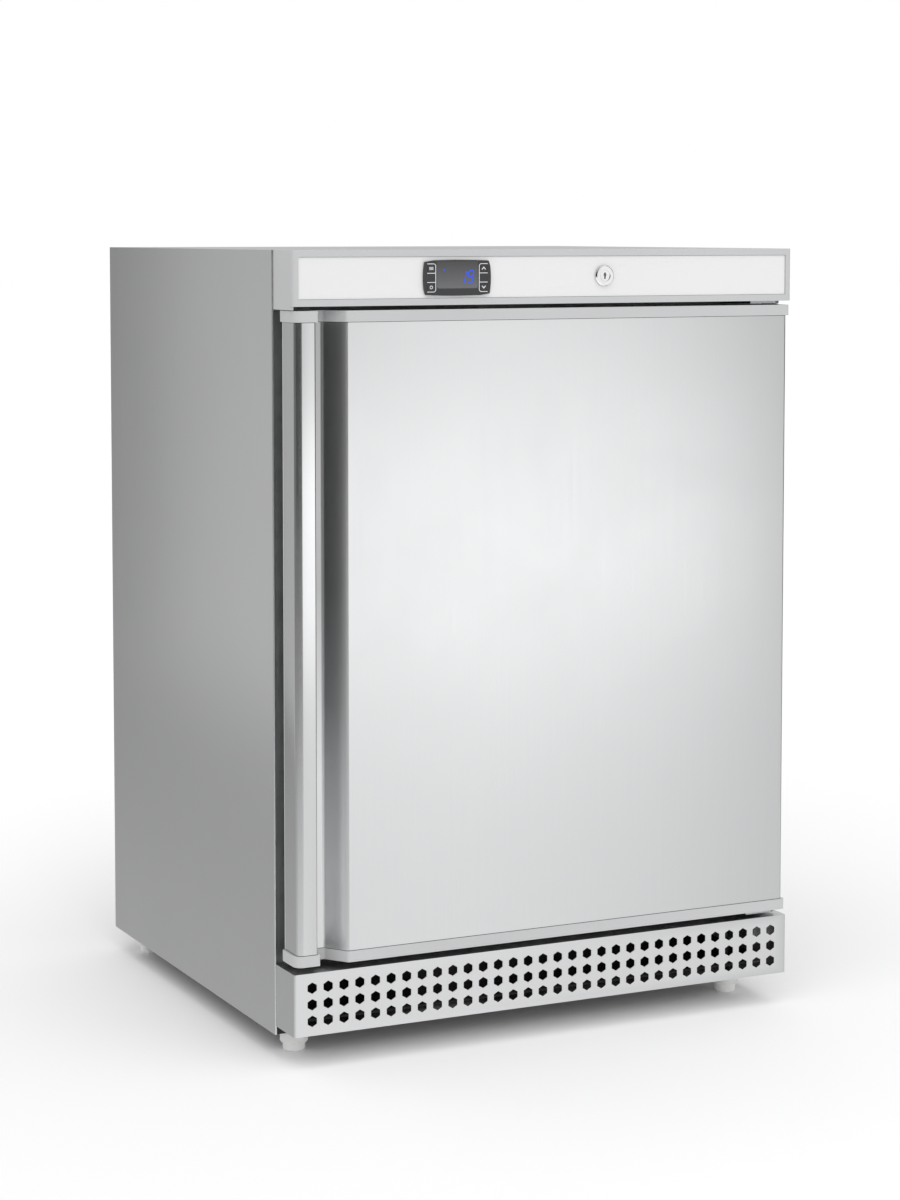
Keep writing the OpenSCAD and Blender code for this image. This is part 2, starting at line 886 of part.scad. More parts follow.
module compressor() {
    plate_x = 92;
    plate_y = 62;
    color(black)
        translate([comp_at[0], comp_at[1], 0]) {
            rotate_extrude() half_profile(comp_r, comp_low, comp_high, 42);
            translate([0, 0, comp_seam]) cylinder(h = seam_h, r = comp_r + 3);
            along_z(comp_low - 4, comp_low + 2)
                difference() {
                    round_rect([-plate_x, -plate_y], [plate_x, plate_y], 14);
                    for (x = [-1, 1], y = [-1, 1])
                        translate([x * (plate_x - 14), y * (plate_y - 14)]) circle(7);
                }
        }
}

// Rubber bushes between the compressor's plate and the tray
module compressor_mounts() {
    low = base_z + 1.5;
    high = comp_low - 4;
    color([0.1, 0.1, 0.1])
        for (x = [-78, 78], y = [-48, 48])
            translate([comp_at[0] + x, comp_at[1] + y, 0])
                rotate_extrude()
                    polygon([[0, low], [11, low], [11, low + 3], [9, low + 6], [11, high],
                        [6.8, high], [6.8, high + 8], [9, high + 8], [9, high + 10], [0, high + 10]]);
}

// Its inner side is hollowed to fit the compressor's shell and seam
module terminal_box() {
    color(charcoal)
        translate([comp_at[0], comp_at[1], 0])
            difference() {
                along_z(70, 128) round_rect([comp_r - 12, -26], [comp_r + 35, 26], 5);
                cylinder(h = 150, r = comp_r + 0.1);
                translate([0, 0, comp_seam - 0.1]) cylinder(h = seam_h + 0.2, r = comp_r + 3.1);
            }
}

tray_low = comp_high;

// The open tray on the compressor, where the defrost water dries off
module evaporation_tray() {
    high = tray_low + 26;
    wall = 2;
    lo = [-130, 112];
    hi = [30, 245];
    color([0.25, 0.25, 0.26])
        difference() {
            along_z(tray_low, high) round_rect(lo, hi, 12);
            along_z(tray_low + wall, high + 1)
                round_rect(lo + [wall, wall], hi - [wall, wall], 12 - wall);
        }
}

module drain_tube() {
    color([0.85, 0.85, 0.84])
        translate([drain_at[0], drain_at[1], 0])
            rotate_extrude()
                polygon([[drain_r - 2, 208], [drain_r, 208], [drain_r, step_z],
                    [drain_r + 4, step_z], [drain_r + 4, step_z + 1.5],
                    [drain_r - 2, step_z + 1.5]]);
}

coil_x = 225;
coil_y = 284;
coil_low = 300;
coil_pitch = 44;
coil_runs = 12;
coil_r = 2.5;

function run_z(i) = coil_low + i * coil_pitch;

// One tube that runs to and fro behind the cabinet
module condenser_coil() {
    color(black) {
        for (i = [0:coil_runs - 1]) rod([-coil_x, coil_y, run_z(i)], [coil_x, coil_y, run_z(i)], coil_r);
        for (i = [0:coil_runs - 2])
            translate([i % 2 == 0 ? coil_x : -coil_x, coil_y, run_z(i) + coil_pitch / 2])
                rotate([90, 0, 0])
                    rotate([0, 0, i % 2 == 0 ? -90 : 90]) bend(coil_pitch / 2, coil_r, 180);
    }
}

// Cooling wires welded along the front and the back of the coil
module condenser_wires() {
    r = 0.8;
    count = 25;
    spread = 2 * coil_x - 40;
    reach = coil_r + r;
    color(black)
        for (i = [0:count - 1], side = [-1, 1])
            rod([(i / (count - 1) - 0.5) * spread, coil_y + side * reach, coil_low - 12],
                [(i / (count - 1) - 0.5) * spread, coil_y + side * reach,
                    run_z(coil_runs - 1) + 12], r);
}

// Four arms hold the coil, and their noses keep the cabinet off the wall
module condenser_brackets() {
    nose = overall_d / 2;
    color(charcoal)
        for (side = [-1, 1], i = [1, coil_runs - 2])
            difference() {
                union() {
                    along_x(side * 214 - 5, side * 214 + 5)
                        translate([0, run_z(i)])
                            polygon(rounded_loop([[y_back, -18], [y_back + 3, -18],
                                [coil_y - 3, -9], [nose, -6], [nose, 6], [coil_y - 3, 9],
                                [y_back + 3, 18], [y_back, 18]],
                                [0, 0, 0, 3, 3, 0, 0, 0]));
                }
                rod([side * 214 - 6, coil_y, run_z(i)], [side * 214 + 6, coil_y, run_z(i)],
                    coil_r + 0.05);
            }
}

drier_at = [-100, 251, 70];
drier_l = 52;

module filter_drier() {
    color(copper)
        translate(drier_at)
            rotate([0, 90, 0])
                rotate_extrude()
                    polygon([[0, -drier_l], [2.6, -drier_l], [3, -44], [9.5, -34], [9.5, 34],
                        [3, 44], [2.6, drier_l], [0, drier_l]]);
}

// Cold gas from the evaporator, down through the bay's ceiling to the compressor
module suction_pipe() {
    color(copper)
        pipe([[-126, 193, 140], [-160, 206, 141], [-190, 238, 160], [-192, 252, 205],
            [-192, 254, bay_z - 1.6]], 3.5);
}

// Hot gas from the compressor to the top of the coil
module discharge_pipe() {
    top = run_z(coil_runs - 1);
    side = -coil_x - 37;
    color(copper)
        pipe([[-129, 165, 100], [-165, 165, 100], [-225, 212, 110], [side, 262, 180],
            [side, coil_y, 240], [side, coil_y, 500], [side, coil_y, top - 20],
            [side + 6, coil_y, top], [-coil_x + 1, coil_y, top]], coil_r);
}

// Liquid from the bottom of the coil to the drier, and the capillary tube that leaves the drier
module liquid_line() {
    low = run_z(0);
    color(copper) {
        pipe([[-coil_x + 1, coil_y, low], [-coil_x - 16, coil_y, low - 1],
            [-coil_x - 20, coil_y, low - 22], [-coil_x - 14, 275, 236], [-222, 250, 190],
            [-205, 250, 120], [-188, 251, 74], [drier_at[0] - drier_l + 1, 251, 70]], coil_r);
        pipe([[drier_at[0] + drier_l - 1, 251, 70], [-18, 251, 74], [20, 250, 100],
            [36, 250, 160], [36, 250, bay_z - 1.4]], 1.2, 8);
    }
}

inlet_at = [204, 90];

// The housing of the start relay and the mains inlet
module electrical_box() {
    color([0.2, 0.2, 0.21])
        difference() {
            along_y(200, 258) round_rect([164, base_z + 1.5], [248, 132], 5);
            along_y(240, 259)
                translate(inlet_at) square([29, 22], center = true);
        }
}

// A three-pole appliance inlet; the lead that plugs into it is not part of the cabinet
module power_inlet() {
    color(black) {
        difference() {
            along_y(241, 261) translate(inlet_at) square([28.6, 21.6], center = true);
            along_y(245, 262)
                translate(inlet_at)
                    polygon([[-12, -8], [12, -8], [12, 4], [7, 8], [-7, 8], [-12, 4]]);
        }
        along_y(258, 260)
            translate(inlet_at)
                difference() {
                    round_rect([-20, -15], [20, 15], 5);
                    square([28, 21], center = true);
                }
        for (p = [[-7, -2], [0, 3], [7, -2]])
            along_y(244, 258) translate(inlet_at + p) square([2, 4], center = true);
    }
}

// ---- door ----

// The caps' outline: a grip with a rounded front corner, the finger groove and the flat front
function cap_outline() =
    rounded_loop([[cap_left, y_door_back], [cap_left, y_face], [grip_right + skin_inset, y_face],
        [grip_right + skin_inset, y_face + groove_d], [groove_end, y_face + groove_d],
        [panel_start, y_face], [cap_x, y_face], [cap_x, y_door_back]],
        [2, 8.5, 1.8, 1, 3, 4, 3, 2], 7);

module door_cap(low) {
    along_z(low, low + cap_h) polygon(cap_outline());
}

module door_top_cap() {
    slot_y = 5;
    color(rim_grey)
        difference() {
            door_cap(door_top - cap_h);
            translate([hinge_x, hinge_y, door_top - cap_h + 0.2]) cylinder(h = cap_h, r = bush_r);
            block([lock_off - cam_w / 2 - 2, cam_y + 1 - slot_y, door_top - 10],
                [lock_off + 29, cam_y + 1 + slot_y, door_top + 1]);
        }
}

module door_bottom_cap() {
    color(rim_grey)
        difference() {
            door_cap(door_z);
            translate([hinge_x, hinge_y, door_z - 0.2]) cylinder(h = cap_h, r = bush_r);
        }
}

skin_low = door_z + cap_h;
skin_high = door_top - cap_h;
groove_floor = y_face + groove_d + 1;

// Front sheet with its right-hand return, the slope of the groove and the groove's floor
module door_skin() {
    color(steel)
        along_z(skin_low, skin_high)
            polygon(folded(rounded_path([[skin_right, y_door_back - 2.1], [skin_right, y_skin],
                [panel_start, y_skin], [groove_end, groove_floor], [grip_right, groove_floor]],
                [0, 2.5, 4, 5, 0]), -sheet_t));
}

// The grip is an extrusion that wraps the door's left edge
module door_handle() {
    wall = 1.6;
    color([0.76, 0.77, 0.78])
        along_z(skin_low, skin_high)
            polygon(folded(rounded_path([[grip_right, groove_floor - 0.05], [grip_right, y_skin],
                [grip_left, y_skin], [grip_left, y_door_back - 2.1]],
                [0, 2, 7.5, 0], 10), -wall));
}

module door_foam() {
    color([0.93, 0.88, 0.66])
        along_z(skin_low + 0.1, skin_high - 0.1)
            polygon([[grip_left + 2, y_door_back - 2.2], [grip_left + 2, y_skin + 7.5],
                [grip_left + 7.5, y_skin + 2], [grip_right - 2, y_skin + 2],
                [grip_right - 2, groove_floor + 1.5], [groove_end + 1.5, groove_floor + 1.5],
                [panel_start + 2, y_skin + 1.5], [skin_right - 1.5, y_skin + 1.5],
                [skin_right - 1.5, y_door_back - 2.2]]);
}

// A moulded inner panel with a raised middle that reaches into the cavity
module door_liner() {
    t = 2;
    rise = 18;
    color(liner_white)
        difference() {
            union() {
                along_y(y_door_back - t, y_door_back)
                    rect([grip_left + 0.5, skin_low], [skin_right - 0.5, skin_high]);
                along_y(y_door_back - t, y_door_back + rise)
                    round_rect([-dyke_x, dyke_low], [dyke_x, dyke_high], 24);
            }
            along_y(y_door_back - t - 1, y_door_back + rise - t)
                round_rect([-dyke_x + t, dyke_low + t], [dyke_x - t, dyke_high - t], 24 - t);
        }
}

// A frame of width w, whose middle line lies in from the gasket's edge by half its full width
module gasket_ring(w, y0, y1) {
    d = (gasket_w - w) / 2;
    along_y(y0, y1)
        difference() {
            rect([-gasket_x + d, gasket_low + d], [gasket_x - d, gasket_high - d]);
            rect([-gasket_x + d + w, gasket_low + d + w], [gasket_x - d - w, gasket_high - d - w]);
        }
}

// Foot, bellows and magnet head of the gasket
module door_gasket() {
    sealed = y_frame - clear;
    color([0.45, 0.45, 0.46]) {
        gasket_ring(gasket_w, y_door_back, y_door_back + 3);
        gasket_ring(11, y_door_back + 2.9, y_door_back + 6.1);
        gasket_ring(16, y_door_back + 6, y_door_back + 8);
        gasket_ring(11, y_door_back + 7.9, sealed - 4);
        gasket_ring(18, sealed - 4.1, sealed);
    }
}

// A flanged bush of height h from low, with its flange at the end that side points to
module bush(low, h, flange_low) {
    translate([hinge_x, hinge_y, 0])
        difference() {
            union() {
                translate([0, 0, low]) cylinder(h = h, r = bush_r - 0.02);
                translate([0, 0, flange_low]) cylinder(h = 1, r = bush_r + 2);
            }
            translate([0, 0, low - 5]) cylinder(h = h + 10, r = pin_r + running);
        }
}

module door_bushes() {
    color(charcoal) {
        bush(door_top - 11.2, 11.3, door_top);
        bush(door_z - 0.1, 11.3, door_z - 1);
    }
}

// ---- levelling feet ----

function foot_places() = [[-foot_x, foot_front_y], [foot_x, foot_front_y],
    [-foot_x, foot_rear_y], [foot_x, foot_rear_y]];

// A plastic foot with a wide collar on a threaded stud
module foot(i) {
    top = base_z - clear;
    p = foot_places()[i];
    translate([p[0], p[1], 0]) {
        color([0.85, 0.85, 0.84])
            rotate_extrude()
                polygon([[0, 0], [9.5, 0], [11.3, 0.8], [12, 2.5], [12, 8.6], [13.6, 9],
                    [15, 10.6], [15, top - 1.2], [14, top], [0, top]]);
        color(zinc) translate([0, 0, top - 2]) cylinder(h = 46, r = stud_r);
    }
}

module foot_front_left() {
    foot(0);
}

module foot_front_right() {
    foot(1);
}

module foot_rear_left() {
    foot(2);
}

module foot_rear_right() {
    foot(3);
}

left_side_panel();
right_side_panel();
top_panel();
back_panel();
machine_bay_panel();
base_tray();
front_frame();
cabinet_foam();
inner_liner();
shelf_rails();
lower_shelf();
middle_shelf();
upper_shelf();
evaporator();
air_guard();
fan_motor();
fan_rotor();
temperature_probe();
fascia_frame();
fascia_insert();
controller_case();
controller_window();
display_digits();
key_up();
key_down();
key_set();
key_menu();
lock_body();
lock_cylinder();
lock_cam();
upper_hinge();
lower_hinge();
front_grille();
cabinet_screws();
compressor();
compressor_mounts();
terminal_box();
evaporation_tray();
drain_tube();
condenser_coil();
condenser_wires();
condenser_brackets();
filter_drier();
suction_pipe();
discharge_pipe();
liquid_line();
electrical_box();
power_inlet();
door_skin();
door_handle();
door_top_cap();
door_bottom_cap();
door_foam();
door_liner();
door_gasket();
door_bushes();
foot_front_left();
foot_front_right();
foot_rear_left();
foot_rear_right();
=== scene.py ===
"""The looks of the undercounter refrigerator: finishes, prints, screws, floor, light and camera."""

import json
import math

import bmesh
import bpy
from mathutils import Matrix, Vector


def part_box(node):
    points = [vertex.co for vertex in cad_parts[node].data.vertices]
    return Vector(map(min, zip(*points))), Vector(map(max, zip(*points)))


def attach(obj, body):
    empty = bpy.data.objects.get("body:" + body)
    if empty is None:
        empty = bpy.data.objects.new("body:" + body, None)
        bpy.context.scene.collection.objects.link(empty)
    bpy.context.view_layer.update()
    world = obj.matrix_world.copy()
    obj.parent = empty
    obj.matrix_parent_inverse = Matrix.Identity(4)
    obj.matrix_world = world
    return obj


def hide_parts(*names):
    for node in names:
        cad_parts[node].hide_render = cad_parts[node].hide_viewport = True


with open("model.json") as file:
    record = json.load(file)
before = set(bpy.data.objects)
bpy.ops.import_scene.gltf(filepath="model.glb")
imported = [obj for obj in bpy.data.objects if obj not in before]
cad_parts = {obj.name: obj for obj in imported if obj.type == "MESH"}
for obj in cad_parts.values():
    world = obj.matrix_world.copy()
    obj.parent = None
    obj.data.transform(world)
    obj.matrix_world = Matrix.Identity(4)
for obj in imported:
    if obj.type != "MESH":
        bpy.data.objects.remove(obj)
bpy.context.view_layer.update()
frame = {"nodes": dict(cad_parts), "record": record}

MM = 0.001
NODES = frame["nodes"]


# ---------------------------------------------------------------- node graphs


class Graph:
    """A material's node tree. Each call adds a node and gives back its output socket."""

    def __init__(self, name):
        self.material = bpy.data.materials.new(name)
        self.material.use_nodes = True
        self.tree = self.material.node_tree
        self.shader = self.tree.nodes["Principled BSDF"]
        self.place = self.add("ShaderNodeTexCoord").outputs["Object"]

    def add(self, kind, **settings):
        node = self.tree.nodes.new(kind)
        for key, value in settings.items():
            setattr(node, key, value)
        return node

    def feed(self, socket, value):
        """Links value to a socket if it is an output, and sets it otherwise."""
        if isinstance(value, bpy.types.NodeSocket):
            self.tree.links.new(value, socket)
        else:
            socket.default_value = value

    def set(self, **sockets):
        """Feeds the shader's sockets, named with _ for a space."""
        for key, value in sockets.items():
            name = key.replace("_", " ")
            if name in ("Base Color", "Emission Color") and not isinstance(
                value, bpy.types.NodeSocket
            ):
                value = (*value, 1)
            self.feed(self.shader.inputs[name], value)

    def stretched(self, scale):
        """The surface's own place, scaled by a different number along X, Y and Z."""
        node = self.add("ShaderNodeVectorMath", operation="MULTIPLY")
        self.feed(node.inputs[0], self.place)
        node.inputs[1].default_value = scale
        return node.outputs[0]

    def noise(self, scale, detail=3.0, roughness=0.55, place=None, distortion=0.0):
        node = self.add("ShaderNodeTexNoise")
        self.feed(node.inputs["Vector"], place or self.place)
        node.inputs["Scale"].default_value = scale
        node.inputs["Detail"].default_value = detail
        node.inputs["Roughness"].default_value = roughness
        node.inputs["Distortion"].default_value = distortion
        return node.outputs["Fac"]

    def cells(self, scale, output="Distance"):
        node = self.add("ShaderNodeTexVoronoi")
        self.feed(node.inputs["Vector"], self.place)
        node.inputs["Scale"].default_value = scale
        return node.outputs[output]

    def spread(self, value, low, high, start=0.3, end=0.7):
        """value from start to end, brought to low to high and held there."""
        node = self.add("ShaderNodeMapRange")
        self.feed(node.inputs["Value"], value)
        node.inputs["From Min"].default_value = start
        node.inputs["From Max"].default_value = end
        node.inputs["To Min"].default_value = low
        node.inputs["To Max"].default_value = high
        return node.outputs["Result"]

    def maths(self, operation, a, b):
        node = self.add("ShaderNodeMath", operation=operation)
        self.feed(node.inputs[0], a)
        self.feed(node.inputs[1], b)
        return node.outputs[0]

    def mixed(self, share, a, b):
        """Colour a where share is 0 and colour b where it is 1."""
        node = self.add("ShaderNodeMix", data_type="RGBA")
        self.feed(node.inputs[0], share)
        for socket, colour in ((node.inputs[6], a), (node.inputs[7], b)):
            if not isinstance(colour, bpy.types.NodeSocket):
                colour = (*colour, 1)
            self.feed(socket, colour)
        return node.outputs[2]

    def bump(self, height, strength, distance):
        node = self.add("ShaderNodeBump")
        self.feed(node.inputs["Height"], height)
        node.inputs["Strength"].default_value = strength
        node.inputs["Distance"].default_value = distance
        return node.outputs["Normal"]

    def edges(self, radius, low=0.002, high=0.06):
        """0 on open faces and 1 along the edges, where a rounded normal leaves the true one."""
        rounded = self.add("ShaderNodeBevel", samples=4)
        rounded.inputs["Radius"].default_value = radius
        true = self.add("ShaderNodeNewGeometry")
        dot = self.add("ShaderNodeVectorMath", operation="DOT_PRODUCT")
        self.feed(dot.inputs[0], rounded.outputs[0])
        self.feed(dot.inputs[1], true.outputs["Normal"])
        return self.spread(dot.outputs["Value"], 1.0, 0.0, 1 - high, 1 - low)

    def height_of_place(self):
        """The Z of the surface's own place, in metres."""
        node = self.add("ShaderNodeSeparateXYZ")
        self.feed(node.inputs[0], self.place)
        return node.outputs["Z"]


def shaded(colour, factor):
    return tuple(c * factor for c in colour)


# ---------------------------------------------------------------- finishes

STEEL = (0.63, 0.635, 0.64)
ZINC = (0.6, 0.61, 0.62)
ALUMINIUM = (0.56, 0.565, 0.57)


def painted_recess_shade_and_reflection(g, tone, colour, end):
    """Painted shade in the recess left of end, in metres. On the recess's slope it thins out downwards
    into a painted reflection of bright metal."""
    across = g.add("ShaderNodeSeparateXYZ")
    g.feed(across.inputs[0], g.place)
    x, z = across.outputs["X"], across.outputs["Z"]
    inside = g.spread(x, 1.0, 0.0, end - 4 * MM, end)
    # Painted shade: the recess is darkened from a height of 0.3 m upwards, fully from 0.5 m.
    film = g.maths("MULTIPLY", inside, g.spread(z, 0.0, 1.0, 0.3, 0.5))
    slope = g.maths("MULTIPLY", inside, g.spread(x, 0.0, 1.0, end - 20 * MM, end - 16 * MM))
    # Painted reflection: low on the slope, below 0.2 to 0.38 m, the colour turns to bright metal.
    clean = g.maths("MULTIPLY", slope, g.spread(z, 1.0, 0.0, 0.2, 0.38))
    tone = g.mixed(film, tone, shaded(colour, 0.6))
    return g.mixed(clean, tone, (0.93, 0.935, 0.94))


def brushed_steel(
    name, colour, roughness, along="Z", anisotropy=0.5, smudge=0.03, scratch=0.12,
    joints=(), recess_to=None,
):
    """Stainless sheet: long fine grain along one axis, faint cloudy wiping marks, bright edges, and
    painted shade along the joints, which are heights in metres. Left of recess_to, in metres, lies a
    recess with painted shade, and with a painted reflection low on its slope."""
    g = Graph(name)
    fine, long_way = 3000.0, 22.0
    scale = {
        "X": (long_way, fine, fine),
        "Y": (fine, long_way, fine),
        "Z": (fine, fine, long_way),
    }[along]
    grain = g.noise(1.0, 2.0, 0.6, g.stretched(scale))
    streaks = g.noise(1.0, 3.0, 0.6, g.stretched(tuple(s * 0.25 for s in scale)))
    clouds = g.noise(7.0, 4.0, 0.6, distortion=0.4)
    worn = g.edges(0.9 * MM)
    tone = g.mixed(g.spread(streaks, 0.0, 1.0), shaded(colour, 0.985), shaded(colour, 1.012))
    tone = g.mixed(g.spread(clouds, 0.0, 0.6), tone, shaded(colour, 0.985))
    tone = g.mixed(g.maths("MULTIPLY", worn, 0.35), tone, (0.86, 0.865, 0.87))
    if recess_to is not None:
        tone = painted_recess_shade_and_reflection(g, tone, colour, recess_to)
    # Painted shade: a thin dark band at each joint height.
    for height in joints:
        away = g.maths("ABSOLUTE", g.maths("SUBTRACT", g.height_of_place(), height), 0.0)
        joint_shade = g.spread(away, 1.0, 0.0, 0.35 * MM, 0.75 * MM)
        tone = g.mixed(joint_shade, tone, shaded(colour, 0.12))
    g.set(Base_Color=tone)
    rough = g.spread(streaks, roughness - smudge * 0.6, roughness + smudge * 0.6)
    rough = g.maths("ADD", rough, g.spread(clouds, -smudge * 0.5, smudge * 0.5))
    g.set(
        Metallic=1.0,
        Roughness=rough,
        Anisotropic=anisotropy,
        Anisotropic_Rotation=0.0 if along != "Z" else 0.25,
        Normal=g.bump(grain, scratch, 0.004 * MM),
    )
    tangent = g.add("ShaderNodeTangent", direction_type="RADIAL", axis="Z" if along == "Z" else "Y")
    g.feed(g.shader.inputs["Tangent"], tangent.outputs[0])
    return g.material


def zinc_sheet(name, colour=ZINC, roughness=0.36):
    """Galvanised sheet with its pattern of crystals."""
    g = Graph(name)
    spangle = g.cells(95.0, output="Color")
    grey = g.add("ShaderNodeRGBToBW")
    g.feed(grey.inputs[0], spangle)
    flake = grey.outputs[0]
    haze = g.noise(9.0, 5.0)
    tone = g.mixed(g.spread(flake, 0.0, 1.0, 0.1, 0.9), shaded(colour, 0.9), shaded(colour, 1.08))
    tone = g.mixed(g.spread(haze, 0.0, 0.35), tone, shaded(colour, 0.8))
    g.set(Base_Color=g.mixed(g.maths("MULTIPLY", g.edges(0.7 * MM), 0.4), tone, (0.8, 0.81, 0.82)))
    rough = g.spread(flake, roughness - 0.06, roughness + 0.08, 0.1, 0.9)
    g.set(
        Metallic=1.0,
        Roughness=g.maths("ADD", rough, g.spread(haze, -0.03, 0.08)),
        Normal=g.bump(g.noise(420.0, 2.0), 0.12, 0.05 * MM),
    )
    return g.material


def moulded_plastic(
    name, colour, roughness, grain=0.25, grain_size=0.6, edge=1.12, coat=0.0, mottle=1.0
):
    """Moulded plastic: a fine spark-eroded grain, faint flow marks, edges rubbed a little lighter."""
    g = Graph(name)
    per_metre = 1000.0 / grain_size
    grains = g.noise(per_metre, 2.0, 0.6)
    flow = g.noise(6.0, 2.0, 0.5)
    tone = g.mixed(
        g.spread(flow, 0.0, 1.0), shaded(colour, 1 - 0.03 * mottle), shaded(colour, 1 + 0.02 * mottle)
    )
    rubbed = tuple(min(0.95, c * edge + 0.012) for c in colour)
    g.set(Base_Color=g.mixed(g.maths("MULTIPLY", g.edges(0.8 * MM), 0.5), tone, rubbed))
    rough = g.spread(flow, roughness - 0.04 * mottle, roughness + 0.05 * mottle)
    g.set(
        Roughness=g.maths("ADD", rough, g.spread(grains, -0.03, 0.03)),
        Coat_Weight=coat,
        Coat_Roughness=0.12,
        Normal=g.bump(grains, grain, 0.03 * MM),
    )
    return g.material


def sprayed_paint(name, colour, roughness, peel=0.35, coat=0.25):
    """Thick stoved paint: orange peel, dust, and metal showing at the sharpest edges."""
    g = Graph(name)
    wavy = g.noise(520.0, 2.0, 0.5)
    dust = g.noise(30.0, 6.0, 0.7)
    worn = g.edges(0.6 * MM, 0.02, 0.2)
    tone = g.mixed(g.spread(dust, 0.0, 0.1, 0.45, 0.8), colour, (0.32, 0.31, 0.3))
    bare = tuple(min(0.6, c * 1.6 + 0.08) for c in colour)
    g.set(Base_Color=g.mixed(g.maths("MULTIPLY", worn, 0.45), tone, bare))
    g.set(
        Roughness=g.spread(dust, roughness - 0.05, roughness + 0.18),
        Coat_Weight=coat,
        Coat_Roughness=0.2,
        Normal=g.bump(wavy, peel, 0.05 * MM),
    )
    return g.material


def copper_tube(name):
    """Drawn copper with brown tarnish and brighter, handled stretches."""
    g = Graph(name)
    tarnish = g.noise(38.0, 6.0, 0.65, distortion=0.6)
    spots = g.noise(260.0, 3.0, 0.6)
    tone = g.mixed(g.spread(tarnish, 0.0, 1.0), (0.83, 0.43, 0.27), (0.4, 0.19, 0.11))
    tone = g.mixed(g.spread(spots, 0.0, 0.5, 0.55, 0.75), tone, (0.25, 0.14, 0.1))
    g.set(
        Base_Color=tone,
        Metallic=1.0,
        Roughness=g.spread(tarnish, 0.22, 0.46),
        Normal=g.bump(spots, 0.1, 0.03 * MM),
    )
    return g.material


def polished_metal(name, colour, roughness):
    """Plated metal with hairline scratches that run every way."""
    g = Graph(name)
    fine = g.noise(1.0, 2.0, 0.5, g.stretched((900.0, 900.0, 5200.0)))
    cross = g.noise(1.0, 2.0, 0.5, g.stretched((5200.0, 900.0, 900.0)))
    hairs = g.maths("MULTIPLY", fine, cross)
    film = g.noise(60.0, 4.0)
    g.set(
        Base_Color=g.mixed(g.spread(film, 0.0, 0.5), colour, shaded(colour, 0.86)),
        Metallic=1.0,
        Roughness=g.spread(film, roughness - 0.03, roughness + 0.06),
        Normal=g.bump(hairs, 0.12, 0.01 * MM),
    )
    return g.material


def soft_rubber(name, colour):
    """Dull rubber with a bloom of dust in its pores."""
    g = Graph(name)
    pores = g.noise(900.0, 3.0, 0.6)
    bloom = g.noise(45.0, 5.0, 0.65)
    light = tuple(min(0.6, c * 1.5 + 0.03) for c in colour)
    tone = g.mixed(g.spread(bloom, 0.0, 0.6, 0.4, 0.75), colour, light)
    g.set(
        Base_Color=g.mixed(g.maths("MULTIPLY", g.edges(0.8 * MM), 0.35), tone, light),
        Roughness=g.spread(bloom, 0.55, 0.8),
        Specular_IOR_Level=0.35,
        Normal=g.bump(pores, 0.22, 0.05 * MM),
    )
    return g.material


def foamed_resin(name):
    """Polyurethane foam: closed cells and a skin with darker patches."""
    g = Graph(name)
    bubbles = g.cells(900.0)
    skin = g.noise(14.0, 5.0, 0.6)
    tone = g.mixed(g.spread(skin, 0.0, 1.0), (0.8, 0.7, 0.4), (0.62, 0.48, 0.22))
    g.set(
        Base_Color=g.mixed(g.spread(bubbles, 0.3, 0.0, 0.0, 0.5), tone, (0.9, 0.84, 0.6)),
        Roughness=g.spread(skin, 0.8, 0.95),
        Normal=g.bump(bubbles, 0.6, 0.3 * MM),
    )
    return g.material


def smoked_window(name):
    """The controller's dark window: gloss plastic with a fine film of wiping marks, and a painted
    reflection that makes it lighter towards the bottom.
    """
    g = Graph(name)
    wipes = g.noise(1.0, 4.0, 0.6, g.stretched((60.0, 60.0, 900.0)), 0.5)
    dust = g.noise(1400.0, 1.0)
    low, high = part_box("controller_window")
    # Painted reflection: lighter colour at the bottom of the window, near black at the top.
    painted_reflection_fade = g.spread(g.height_of_place(), 0.0, 1.0, low.z, high.z)
    tone = g.mixed(painted_reflection_fade, (0.1, 0.102, 0.106), (0.01, 0.01, 0.012))
    g.set(
        Base_Color=g.mixed(g.spread(wipes, 0.0, 0.25), tone, (0.05, 0.051, 0.055)),
        Roughness=g.spread(wipes, 0.1, 0.2),
        Coat_Weight=0.6,
        Coat_Roughness=0.05,
        Normal=g.bump(dust, 0.03, 0.01 * MM),
    )
    return g.material


def threaded_stud(name, colour=ZINC, pitch=1.25):
    """Zinc-plated screw thread: turns of the given pitch along Z, darker in their roots."""
    g = Graph(name)
    turns = g.add("ShaderNodeTexWave", wave_type="BANDS", bands_direction="Z")
    g.feed(turns.inputs["Vector"], g.place)
    turns.inputs["Scale"].default_value = math.pi / (10 * pitch * MM)
    turns.inputs["Distortion"].default_value = 0.0
    ridge = turns.outputs["Fac"]
    haze = g.noise(140.0, 4.0)
    tone = g.mixed(g.spread(ridge, 0.0, 1.0, 0.1, 0.6), shaded(colour, 0.35), colour)
    g.set(
        Base_Color=g.mixed(g.spread(haze, 0.0, 0.3), tone, shaded(colour, 0.6)),
        Metallic=1.0,
        Roughness=g.spread(haze, 0.28, 0.42),
        Normal=g.bump(ridge, 1.0, 0.4 * MM),
    )
    return g.material


def lit_segment(name, colour, strength):
    """A lit bar of the display: brighter in its middle parts than at its rims."""
    g = Graph(name)
    uneven = g.noise(500.0, 2.0)
    bright = g.mixed(g.spread(uneven, 0.0, 1.0), shaded(colour, 0.8), colour)
    g.set(
        Base_Color=g.mixed(g.edges(0.4 * MM), shaded(colour, 0.2), shaded(colour, 0.1)),
        Emission_Color=bright,
        Emission_Strength=strength,
        Roughness=g.spread(uneven, 0.3, 0.5),
    )
    return g.material


def printed_ink(name, colour):
    """Silk-screened ink: slightly uneven edge to edge, with pinholes."""
    g = Graph(name)
    pins = g.noise(1800.0, 3.0)
    wash = g.noise(220.0, 3.0)
    tone = g.mixed(g.spread(wash, 0.0, 1.0), shaded(colour, 0.88), colour)
    g.set(
        Base_Color=g.mixed(g.spread(pins, 0.0, 0.4, 0.6, 0.75), tone, shaded(colour, 0.5)),
        Roughness=g.spread(wash, 0.42, 0.6),
        Normal=g.bump(pins, 0.2, 0.02 * MM),
    )
    return g.material


